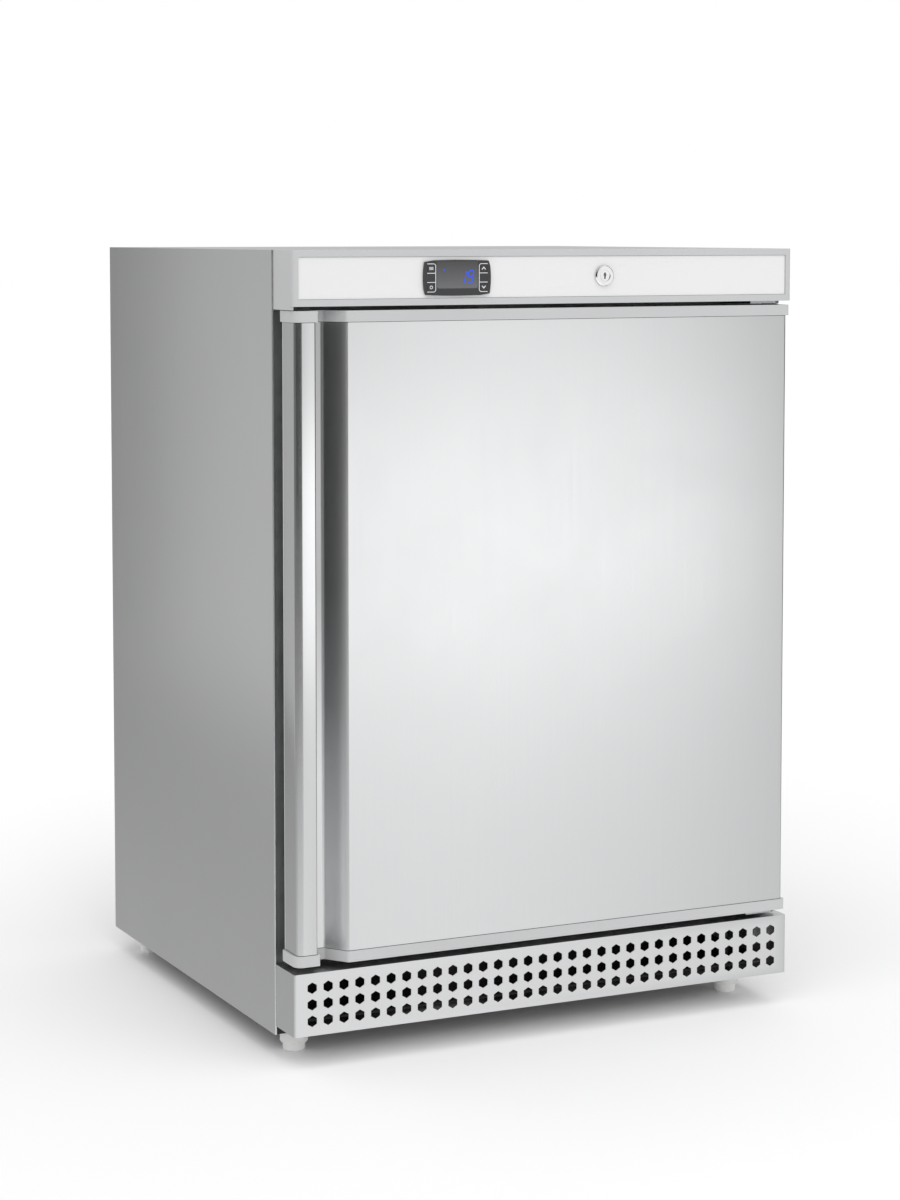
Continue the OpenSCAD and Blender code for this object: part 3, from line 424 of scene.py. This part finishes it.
def cold_plate(name):
    """Roll-bonded aluminium: matt, with mill lines and a breath of frost low down."""
    g = Graph(name)
    mill = g.noise(1.0, 3.0, 0.6, g.stretched((16.0, 900.0, 900.0)))
    frost = g.noise(75.0, 6.0, 0.7)
    tone = g.mixed(g.spread(mill, 0.0, 1.0), (0.7, 0.71, 0.72), (0.8, 0.81, 0.82))
    g.set(
        Base_Color=g.mixed(g.spread(frost, 0.0, 0.45, 0.5, 0.75), tone, (0.9, 0.91, 0.92)),
        Metallic=1.0,
        Roughness=g.spread(frost, 0.36, 0.6),
        Normal=g.bump(frost, 0.15, 0.1 * MM),
    )
    return g.material


FINISHES = {
    "stainless": lambda: brushed_steel("stainless", STEEL, 0.3),
    "satin_aluminium": lambda: brushed_steel("satin_aluminium", ALUMINIUM, 0.2, anisotropy=0.3),
    "zinc_plated": lambda: zinc_sheet("zinc_plated"),
    "insulation": lambda: foamed_resin("insulation"),
    "liner_plastic": lambda: moulded_plastic(
        "liner_plastic", (0.84, 0.85, 0.84), 0.3, 0.1, 1.4, coat=0.15, mottle=0.3
    ),
    "shelf_coating": lambda: moulded_plastic("shelf_coating", (0.8, 0.81, 0.81), 0.34, 0.12, 0.9),
    "cold_plate": lambda: cold_plate("cold_plate"),
    "black_plastic": lambda: moulded_plastic("black_plastic", (0.03, 0.03, 0.032), 0.46, 0.4),
    "probe_steel": lambda: polished_metal("probe_steel", (0.66, 0.66, 0.67), 0.22),
    "grey_plastic": lambda: moulded_plastic("grey_plastic", (0.5, 0.505, 0.51), 0.4, 0.14, 0.5),
    "white_panel": lambda: moulded_plastic(
        "white_panel", (0.73, 0.73, 0.735), 0.28, 0.05, 0.8, mottle=0.25
    ),
    "charcoal_plastic": lambda: moulded_plastic(
        "charcoal_plastic", (0.026, 0.027, 0.029), 0.42, 0.3, 0.35
    ),
    "dark_window": lambda: smoked_window("dark_window"),
    "display_blue": lambda: lit_segment("display_blue", (0.02, 0.09, 0.85), 0.9),
    "lock_chrome": lambda: polished_metal("lock_chrome", (0.78, 0.78, 0.79), 0.14),
    "compressor_paint": lambda: sprayed_paint("compressor_paint", (0.018, 0.018, 0.02), 0.28),
    "mount_rubber": lambda: soft_rubber("mount_rubber", (0.02, 0.02, 0.02)),
    "drain_plastic": lambda: moulded_plastic("drain_plastic", (0.7, 0.7, 0.68), 0.4),
    "condenser_paint": lambda: sprayed_paint("condenser_paint", (0.02, 0.02, 0.021), 0.4),
    "copper_tube": lambda: copper_tube("copper_tube"),
    "gasket_grey": lambda: soft_rubber("gasket_grey", (0.24, 0.24, 0.25)),
    "foot_plastic": lambda: moulded_plastic("foot_plastic", (0.84, 0.84, 0.83), 0.45, 0.3, 0.7),
}
finish = {name: make() for name, make in FINISHES.items()}
DOOR_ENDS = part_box("door_skin")[0].z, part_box("door_skin")[1].z
GROOVE_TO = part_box("door_handle")[1].x + 34 * MM
# The door steel and grip metal carry painted shade at the door's ends; the door steel also has painted
# shade and a painted reflection in the recess left of GROOVE_TO.
door_steel = brushed_steel("door_steel", STEEL, 0.3, joints=DOOR_ENDS, recess_to=GROOVE_TO)
grip_metal = brushed_steel("grip_metal", ALUMINIUM, 0.2, anisotropy=0.3, joints=DOOR_ENDS)
# Painted shade: a darker copy of the zinc finish for the front frame, which lies in the gap beside the
# door.
shaded_frame_zinc = zinc_sheet("shaded_frame_zinc", (0.3, 0.305, 0.31), 0.5)
# Painted shade: a blacker, matter copy of the black paint for the tray, so that the machine bay shows
# dark through the grille.
shade_black_tray_paint = sprayed_paint("shade_black_tray_paint", (0.006, 0.006, 0.0065), 0.72, coat=0.02)
# Painted shade: the top panel's steel is a darker copy of the stainless.
shaded_top_steel = brushed_steel("shaded_top_steel", shaded(STEEL, 0.9), 0.3, along="X")
stud_thread = threaded_stud("stud_thread")
ink_white = printed_ink("ink_white", (0.72, 0.73, 0.74))
ink_faint = printed_ink("ink_faint", (0.07, 0.09, 0.22))


# ---------------------------------------------------------------- CAD nodes

# Width in millimetres of the small round on each node's edges
EDGE_ROUND = {
    "door_top_cap": 0.6,
    "door_bottom_cap": 0.6,
    "fascia_frame": 0.6,
    "fascia_insert": 0.25,
    "controller_case": 0.3,
    "key_up": 0.2,
    "key_down": 0.2,
    "key_set": 0.2,
    "key_menu": 0.2,
    "lock_body": 0.3,
    "lock_cylinder": 0.2,
    "lock_cam": 0.3,
    "upper_hinge": 0.4,
    "lower_hinge": 0.4,
    "front_grille": 0.15,
    "top_panel": 0.3,
    "left_side_panel": 0.2,
    "right_side_panel": 0.2,
    "door_skin": 0.2,
    "door_handle": 0.2,
    "electrical_box": 0.8,
    "terminal_box": 1.0,
    "power_inlet": 0.3,
    "condenser_brackets": 0.6,
    "filter_drier": 0.3,
    "evaporation_tray": 0.5,
    "shelf_rails": 0.5,
    "door_gasket": 0.7,
    "compressor": 1.0,
    "fan_motor": 0.6,
    "fan_rotor": 0.25,
    "air_guard": 0.5,
    "back_panel": 0.2,
    "base_tray": 0.25,
    "door_liner": 1.2,
    "front_frame": 0.2,
}
BEVEL_ANGLE = math.radians(32)
TUBES = ("suction_pipe", "discharge_pipe", "liquid_line")


def weld(node):
    """Joins the split vertices of an imported node, without touching its mesh."""
    mesh = node.data
    if "custom_normal" in mesh.attributes:
        mesh.attributes.remove(mesh.attributes["custom_normal"])
    mesh.shade_smooth()
    joined = node.modifiers.new("joined", "WELD")
    joined.merge_threshold = 0.002 * MM


def round_edges(node, width):
    weld(node)
    bevel = node.modifiers.new("edges", "BEVEL")
    bevel.width = width * MM
    bevel.segments = 2
    bevel.limit_method = "ANGLE"
    bevel.angle_limit = BEVEL_ANGLE
    bevel.harden_normals = True
    bevel.use_clamp_overlap = True


def smooth_tube(node):
    """Rounds the sides of a pipe."""
    weld(node)
    rounder = node.modifiers.new("rounder", "SUBSURF")
    rounder.levels = 1
    rounder.render_levels = 1


def finish_nodes():
    slots = {s["node"]: s["material_slot"] for s in frame["record"]["subparts"]}
    for name, node in NODES.items():
        node.data.materials.clear()
        node.data.materials.append(finish[slots[name]])
        if name in EDGE_ROUND:
            round_edges(node, EDGE_ROUND[name])
        elif name in TUBES:
            smooth_tube(node)
    # The top panel's, front frame's and tray's finishes here are darker copies: painted shade.
    for name, other in (
        ("top_panel", shaded_top_steel), ("door_skin", door_steel), ("door_handle", grip_metal),
        ("front_frame", shaded_frame_zinc), ("base_tray", shade_black_tray_paint),
    ):
        NODES[name].data.materials[0] = other
    for name in ("foot_front_left", "foot_front_right", "foot_rear_left", "foot_rear_right"):
        finish_stud(name)


def finish_stud(name):
    """The foot's plastic ends at its stud, which stands on the middle of the collar."""
    mesh = NODES[name].data
    low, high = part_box(name)
    axis = (low + high) / 2
    collar_top = 26.2 * MM
    mesh.materials.append(stud_thread)
    for polygon in mesh.polygons:
        away = polygon.center - axis
        if polygon.center.z > collar_top and math.hypot(away.x, away.y) < 5.2 * MM:
            polygon.material_index = 1


# ---------------------------------------------------------------- prints and screws


def new_piece(name, bm, material, body, sharp=35):
    """Makes a piece from a bmesh, gives it a material and a slot, and lets it ride on a body."""
    bmesh.ops.recalc_face_normals(bm, faces=bm.faces)
    mesh = bpy.data.meshes.new(name)
    bm.to_mesh(mesh)
    bm.free()
    mesh.shade_smooth()
    mesh.set_sharp_from_angle(angle=math.radians(sharp))
    mesh.materials.append(material)
    piece = bpy.data.objects.new(name, mesh)
    bpy.context.scene.collection.objects.link(piece)
    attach(piece, body)
    return piece


def arc(middle, radius, start, end, steps=8):
    """Points of an arc round middle, from start to end in degrees."""
    turns = [math.radians(start + (end - start) * i / steps) for i in range(steps + 1)]
    return [(middle[0] + radius * math.cos(a), middle[1] + radius * math.sin(a)) for a in turns]


def raised_lines(bm, middle, lines, front, back):
    """Adds flat-topped lines that face the front. middle is (x, z), and front and back are y, in
    metres. Each line is its points in millimetres round middle, its width, and whether it closes."""
    for points, width, closed in lines:
        path = [Vector(p) for p in points]
        count = len(path)
        rings = []
        for i, p in enumerate(path):
            steps = []
            if closed or i > 0:
                steps.append((p - path[i - 1]).normalized())
            if closed or i < count - 1:
                steps.append((path[(i + 1) % count] - p).normalized())
            sides = [Vector((-d.y, d.x)) for d in steps]
            mitre = (sides[0] + sides[-1]) / (1 + sides[0].dot(sides[-1])) * width / 2
            rings.append([
                bm.verts.new((middle[0] + q.x * MM, y, middle[1] + q.y * MM))
                for q, y in ((p + mitre, front), (p - mitre, front), (p - mitre, back), (p + mitre, back))
            ])
        for i in range(count if closed else count - 1):
            here, there = rings[i], rings[(i + 1) % count]
            for k in range(4):
                bm.faces.new((here[k], here[(k + 1) % 4], there[(k + 1) % 4], there[k]))
        if not closed:
            bm.faces.new(rings[0])
            bm.faces.new(rings[-1])


def middle_of(node):
    low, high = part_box(node)
    return (low.x + high.x) / 2, (low.z + high.z) / 2


def controller_prints():
    """The lines round the key fields, the faint degree ring and the window's dark seam. Sizes
    are in millimetres from the middle of the controller or of its window."""
    field_end, field_x, field_z, corner = 35, 25.25, 14.6, 2.5
    bar_top, bar_low = 4.9, -4.7
    degree_at, degree_r = (21.3, 8.3), 0.75
    sharp, round_low = 0.6, 3
    window_low, window_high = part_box("controller_window")
    case_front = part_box("controller_case")[0].y
    middle = middle_of("controller_case")
    brackets = bmesh.new()
    for side in (-1, 1):
        turn_x, turn_z = field_x + corner, field_z - corner
        bracket = (
            [(field_end, field_z), (turn_x, field_z)]
            + arc((turn_x, turn_z), corner, 90, 180)
            + arc((turn_x, -turn_z), corner, 180, 270)
            + [(turn_x, -field_z), (field_end, -field_z)]
        )
        bars = [[(field_end, z), (field_x, z)] for z in (bar_top, bar_low)]
        lines = [[(side * x, z) for x, z in line] for line in (bracket, *bars)]
        for i, line in enumerate(lines):
            clean = [p for k, p in enumerate(line) if k == 0 or math.dist(p, line[k - 1]) > 0.01]
            raised = case_front - (0.04 + 0.006 * i) * MM
            raised_lines(brackets, middle, [(clean, 0.75, False)], raised, case_front + 0.05 * MM)
    new_piece("controller_brackets", brackets, ink_white, "cabinet")

    degree = bmesh.new()
    ring = arc(degree_at, degree_r, 0, 360 - 22.5, 15)
    raised_lines(degree, middle, [(ring, 0.35, True)], window_low.y - 0.04 * MM, window_low.y + 0.05 * MM)
    new_piece("degree_ring", degree, ink_faint, "cabinet")

    seam = bmesh.new()
    x = (window_high.x - window_low.x) / 2 / MM
    z = (window_high.z - window_low.z) / 2 / MM
    outline = (
        arc((x - sharp, z - sharp), sharp, 0, 90, 3)
        + arc((sharp - x, z - sharp), sharp, 90, 180, 3)
        + arc((round_low - x, round_low - z), round_low, 180, 270)
        + arc((x - round_low, round_low - z), round_low, 270, 360)
    )
    raised_lines(
        seam, middle_of("controller_window"), [(outline, 0.75, True)],
        case_front - 0.03 * MM, case_front + 0.4 * MM,
    )
    new_piece("window_seam", seam, finish["black_plastic"], "cabinet")


KEY_MARKS = {
    "key_up": ("up_key", [([(-2.1, -1.3), (0, 1.1), (2.1, -1.3)], 0.95, False)]),
    "key_down": ("down_key", [([(-2.1, 1.3), (0, -1.1), (2.1, 1.3)], 0.95, False)]),
    "key_menu": ("menu_key", [([(-2.4, z), (2.4, z)], 0.6, False) for z in (1.15, 0, -1.15)]),
    "key_set": ("set_key", [(arc((0, 0), 1.5, 0, 360 - 18, 19), 0.65, True)]),
}


def key_marks():
    """Plain signs on the four keys: up, down, a list and a ring."""
    for node, (body, lines) in KEY_MARKS.items():
        bm = bmesh.new()
        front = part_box(node)[0].y
        raised_lines(bm, middle_of(node), lines, front - 0.04 * MM, front + 0.05 * MM)
        new_piece(node + "_mark", bm, ink_white, body)


def screw_groups(node):
    """Finds the screws that share a CAD node: a middle, a radius and the Y of base and head."""
    groups = []
    for vertex in NODES[node].data.vertices:
        p = vertex.co
        for group in groups:
            q = group[0]
            if math.hypot(p.x - q.x, p.z - q.z) < 9 * MM and abs(p.y - q.y) < 9 * MM:
                group.append(p)
                break
        else:
            groups.append([p])
    screws = []
    for group in groups:
        low = [min(p[i] for p in group) for i in range(3)]
        high = [max(p[i] for p in group) for i in range(3)]
        faces_front = low[1] < 0
        screws.append({
            "at": ((low[0] + high[0]) / 2, (low[2] + high[2]) / 2),
            "radius": (high[0] - low[0]) / 2,
            "base": high[1] if faces_front else low[1],
            "head": low[1] if faces_front else high[1],
        })
    return screws


def cross_screw(bm, screw, spin):
    """A pan head with a cross recess, turned by spin degrees."""
    sides = 40
    radius = screw["radius"]
    tall = screw["head"] - screw["base"]

    def put(x, z, share):
        a = math.radians(spin)
        across = x * math.cos(a) - z * math.sin(a)
        up = x * math.sin(a) + z * math.cos(a)
        return bm.verts.new((screw["at"][0] + across, screw["base"] + tall * share, screw["at"][1] + up))

    def circle(r, share):
        turns = [2 * math.pi * i / sides for i in range(sides)]
        return [put(r * math.cos(a), r * math.sin(a), share) for a in turns]

    def cross(arm, half, share):
        quarter = [(arm, -half), (arm, half), (half, half)]
        loop = []
        for turn in range(4):
            for x, z in quarter:
                for _ in range(turn):
                    x, z = -z, x
                loop.append(put(x * radius, z * radius, share))
        return loop

    def band(low, high):
        for i in range(len(low)):
            j = (i + 1) % len(low)
            bm.faces.new((low[i], low[j], high[j], high[i]))

    dome = [(1.0, 0.0), (1.0, 0.42), (0.985, 0.58), (0.93, 0.74), (0.84, 0.87), (0.74, 0.96), (0.64, 1.0)]
    rings = [circle(radius * r, share) for r, share in dome]
    for low, high in zip(rings, rings[1:]):
        band(low, high)
    recess = [cross(0.52, 0.13, 1.0), cross(0.4, 0.09, 0.45)]
    band(*recess)
    bm.faces.new(recess[1])
    bm.faces.new(rings[0])
    rim = []
    for loop in (rings[-1], recess[0]):
        rim += [bm.edges.get((loop[i], loop[(i + 1) % len(loop)])) for i in range(len(loop))]
    bmesh.ops.triangle_fill(bm, edges=rim, use_beauty=True)


def cabinet_screws():
    """Cross-recess heads in place of the CAD's plain ones, each turned as it was left."""
    bm = bmesh.new()
    for i, screw in enumerate(screw_groups("cabinet_screws")):
        cross_screw(bm, screw, (i * 37) % 90)
    piece = new_piece("cross_screws", bm, finish["zinc_plated"], "cabinet", 30)
    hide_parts("cabinet_screws")


def tray_flanges():
    """Folded edges that close the slits between the machine bay's tray and the side panels."""
    sheet, width, height = 0.9 * MM, 9 * MM, 14 * MM
    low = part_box("base_tray")[0]
    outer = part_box("right_side_panel")[1].x - 1.06 * MM
    floor = low.z + 1.52 * MM
    start = low.y + 12.5 * MM
    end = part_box("right_side_panel")[1].y - 3 * MM
    profile = (
        (outer - width, floor), (outer, floor), (outer, floor + height),
        (outer - sheet, floor + height), (outer - sheet, floor + 2 * sheet),
        (outer - 2 * sheet, floor + sheet), (outer - width, floor + sheet),
    )
    bm = bmesh.new()
    for side in (-1, 1):
        rings = [[bm.verts.new((side * x, y, z)) for x, z in profile] for y in (start, end)]
        for k in range(len(profile)):
            j = (k + 1) % len(profile)
            bm.faces.new((rings[0][k], rings[0][j], rings[1][j], rings[1][k]))
        for ring in rings:
            bm.faces.new(ring)
    # The flanges take the tray's blacker paint, painted shade.
    new_piece("tray_flanges", bm, shade_black_tray_paint, "cabinet")


# ---------------------------------------------------------------- stage, light and camera


def pale_floor():
    """A large matt floor. Gloss sees the room below instead of it, so it stays evenly white."""
    mesh = bpy.data.meshes.new("floor")
    half = 40.0
    corners = [(-half, -half, 0), (half, -half, 0), (half, half, 0), (-half, half, 0)]
    mesh.from_pydata(corners, [], [(0, 1, 2, 3)])
    floor = bpy.data.objects.new("floor", mesh)
    bpy.context.scene.collection.objects.link(floor)
    floor.visible_glossy = False
    g = Graph("floor")
    g.set(
        Base_Color=g.mixed(g.noise(0.6, 3.0), (0.94, 0.94, 0.945), (0.96, 0.96, 0.96)),
        Roughness=g.spread(g.noise(3.0, 3.0), 0.7, 0.8),
        Specular_IOR_Level=0.1,
    )
    floor.data.materials.append(g.material)


def hang_lamp(name, light, place, target):
    lamp = bpy.data.objects.new(name, light)
    bpy.context.scene.collection.objects.link(lamp)
    lamp.location = place
    aim = Vector(target) - Vector(place)
    lamp.rotation_euler = aim.to_track_quat("-Z", "Y").to_euler()
    lamp.visible_camera = False
    return lamp


def soft_box(name, place, target, size, brightness):
    """A softbox of the given size, which shows in gloss with the given brightness."""
    light = bpy.data.lights.new(name, "AREA")
    light.shape = "RECTANGLE"
    light.size, light.size_y = size
    light.energy = brightness * math.pi * size[0] * size[1]
    hang_lamp(name, light, place, target)


# Brightness of the room as gloss sees it, by the bearing in degrees from straight ahead of the
# refrigerator towards its right: on the horizon, and low down where the floor is. The ceiling
# goes from one brightness at the left to another at the right. The floor sets in and the
# ceiling does between two heights on the unit sphere
ROOM = (
    (-180, 0.3, 0.52),
    (-155, 0.27, 0.58),
    (-100, 0.2, 0.9),
    (-80, 0.02, 1.2),
    (-20, 0.03, 1.3),
    (5, 0.1, 1.35),
    (15, 0.85, 1.3),
    (26, 1.2, 1.08),
    (34, 1.0, 0.98),
    (46, 0.5, 0.78),
    (65, 0.02, 1.1),
    (110, 0.02, 0.9),
    (135, 0.7, 0.5),
    (160, 0.7, 0.5),
    (180, 0.3, 0.52),
)
CEILING_LEFT, CEILING_RIGHT = 0.6, 1.05
FLOOR_FROM, FLOOR_TO = -0.14, -0.24
CEILING_FROM, CEILING_TO = 0.25, 0.85
BRIGHTEST = 1.5


def studio_world():
    """White for the eye and for matt surfaces; for gloss, a room with dark sides and a pale floor."""
    world = bpy.data.worlds.new("studio")
    bpy.context.scene.world = world
    world.use_nodes = True
    world.cycles.sampling_method = "NONE"
    tree = world.node_tree
    link = tree.links.new

    def maths(operation, *values):
        node = tree.nodes.new("ShaderNodeMath")
        node.operation = operation
        for socket, value in zip(node.inputs, values):
            if isinstance(value, bpy.types.NodeSocket):
                link(value, socket)
            else:
                socket.default_value = value
        return node.outputs[0]

    def share(value, start, end):
        node = tree.nodes.new("ShaderNodeMapRange")
        node.interpolation_type = "SMOOTHSTEP"
        link(value, node.inputs["Value"])
        node.inputs["From Min"].default_value = start
        node.inputs["From Max"].default_value = end
        return node.outputs["Result"]

    def ramp(bearing, column):
        node = tree.nodes.new("ShaderNodeValToRGB")
        node.color_ramp.interpolation = "EASE"
        stops = node.color_ramp.elements
        for i, row in enumerate(ROOM):
            stop = stops[i] if i < 2 else stops.new(1)
            stop.position = (row[0] + 180) / 360
            tone = row[column] / BRIGHTEST
            stop.color = (tone, tone, tone, 1)
        link(bearing, node.inputs[0])
        return node.outputs[0]

    def blend(factor, a, b):
        node = tree.nodes.new("ShaderNodeMix")
        node.data_type = "RGBA"
        link(factor, node.inputs[0])
        for socket, value in ((node.inputs[6], a), (node.inputs[7], b)):
            if isinstance(value, bpy.types.NodeSocket):
                link(value, socket)
            else:
                socket.default_value = (value, value, value, 1)
        return node.outputs[2]

    place = tree.nodes.new("ShaderNodeTexCoord")
    split = tree.nodes.new("ShaderNodeSeparateXYZ")
    link(place.outputs["Generated"], split.inputs[0])
    x, y, z = split.outputs
    turn = maths("ARCTAN2", x, maths("MULTIPLY", y, -1.0))
    bearing = maths("ADD", maths("DIVIDE", turn, 2 * math.pi), 0.5)
    room = blend(share(z, FLOOR_FROM, FLOOR_TO), ramp(bearing, 1), ramp(bearing, 2))
    above = blend(share(x, -0.8, 0.8), CEILING_LEFT / BRIGHTEST, CEILING_RIGHT / BRIGHTEST)
    room = blend(share(z, CEILING_FROM, CEILING_TO), room, above)

    plain = tree.nodes["Background"]
    plain.inputs["Color"].default_value = (1, 1, 1, 1)
    plain.inputs["Strength"].default_value = 0.75
    white = tree.nodes.new("ShaderNodeBackground")
    white.inputs["Color"].default_value = (1, 1, 1, 1)
    gloss = tree.nodes.new("ShaderNodeBackground")
    link(room, gloss.inputs["Color"])
    gloss.inputs["Strength"].default_value = BRIGHTEST
    ray = tree.nodes.new("ShaderNodeLightPath")
    seen = plain.outputs[0]
    for kind, other in (("Is Glossy Ray", gloss), ("Is Camera Ray", white)):
        mix = tree.nodes.new("ShaderNodeMixShader")
        link(ray.outputs[kind], mix.inputs[0])
        link(seen, mix.inputs[1])
        link(other.outputs[0], mix.inputs[2])
        seen = mix.outputs[0]
    link(seen, tree.nodes["World Output"].inputs["Surface"])


def studio_lights():
    """A wide soft light from above for matt surfaces, and softboxes that shape the steel's gloss."""
    high = bpy.data.lights.new("high", "SUN")
    high.energy = 1.3
    high.angle = math.radians(75)
    hang_lamp("high", high, (-0.4, -1.6, 2.4), (0, 0, 0)).visible_glossy = False
    soft_box("door_box", (0.62, -1.6, 0.39), (0.62, -0.3, 0.39), (1.4, 0.36), 0.76)
    soft_box("side_box", (-0.85, 0.85, 0.6), (-0.3, 0.85, 0.6), (1.2, 0.9), 0.36)


CAMERA_AT = (-1.3906, -2.9279, 0.87)
CAMERA_YAW = math.radians(25.776)
CAMERA_PITCH = math.radians(4.12)
CAMERA_LENS = 83.958
FRAME_SHIFT = -0.14


def photo_camera():
    data = bpy.data.cameras.new("camera")
    data.lens = CAMERA_LENS
    data.sensor_width = 36
    data.shift_y = FRAME_SHIFT
    data.clip_start, data.clip_end = 0.05, 60
    camera = bpy.data.objects.new("camera", data)
    bpy.context.scene.collection.objects.link(camera)
    camera.location = CAMERA_AT
    camera.rotation_euler = (math.pi / 2 - CAMERA_PITCH, 0, -CAMERA_YAW)
    bpy.context.scene.camera = camera


photo_camera()
studio_world()
studio_lights()
pale_floor()
finish_nodes()
controller_prints()
key_marks()
cabinet_screws()
tray_flanges()

scene = bpy.context.scene
scene.view_settings.view_transform = "Standard"
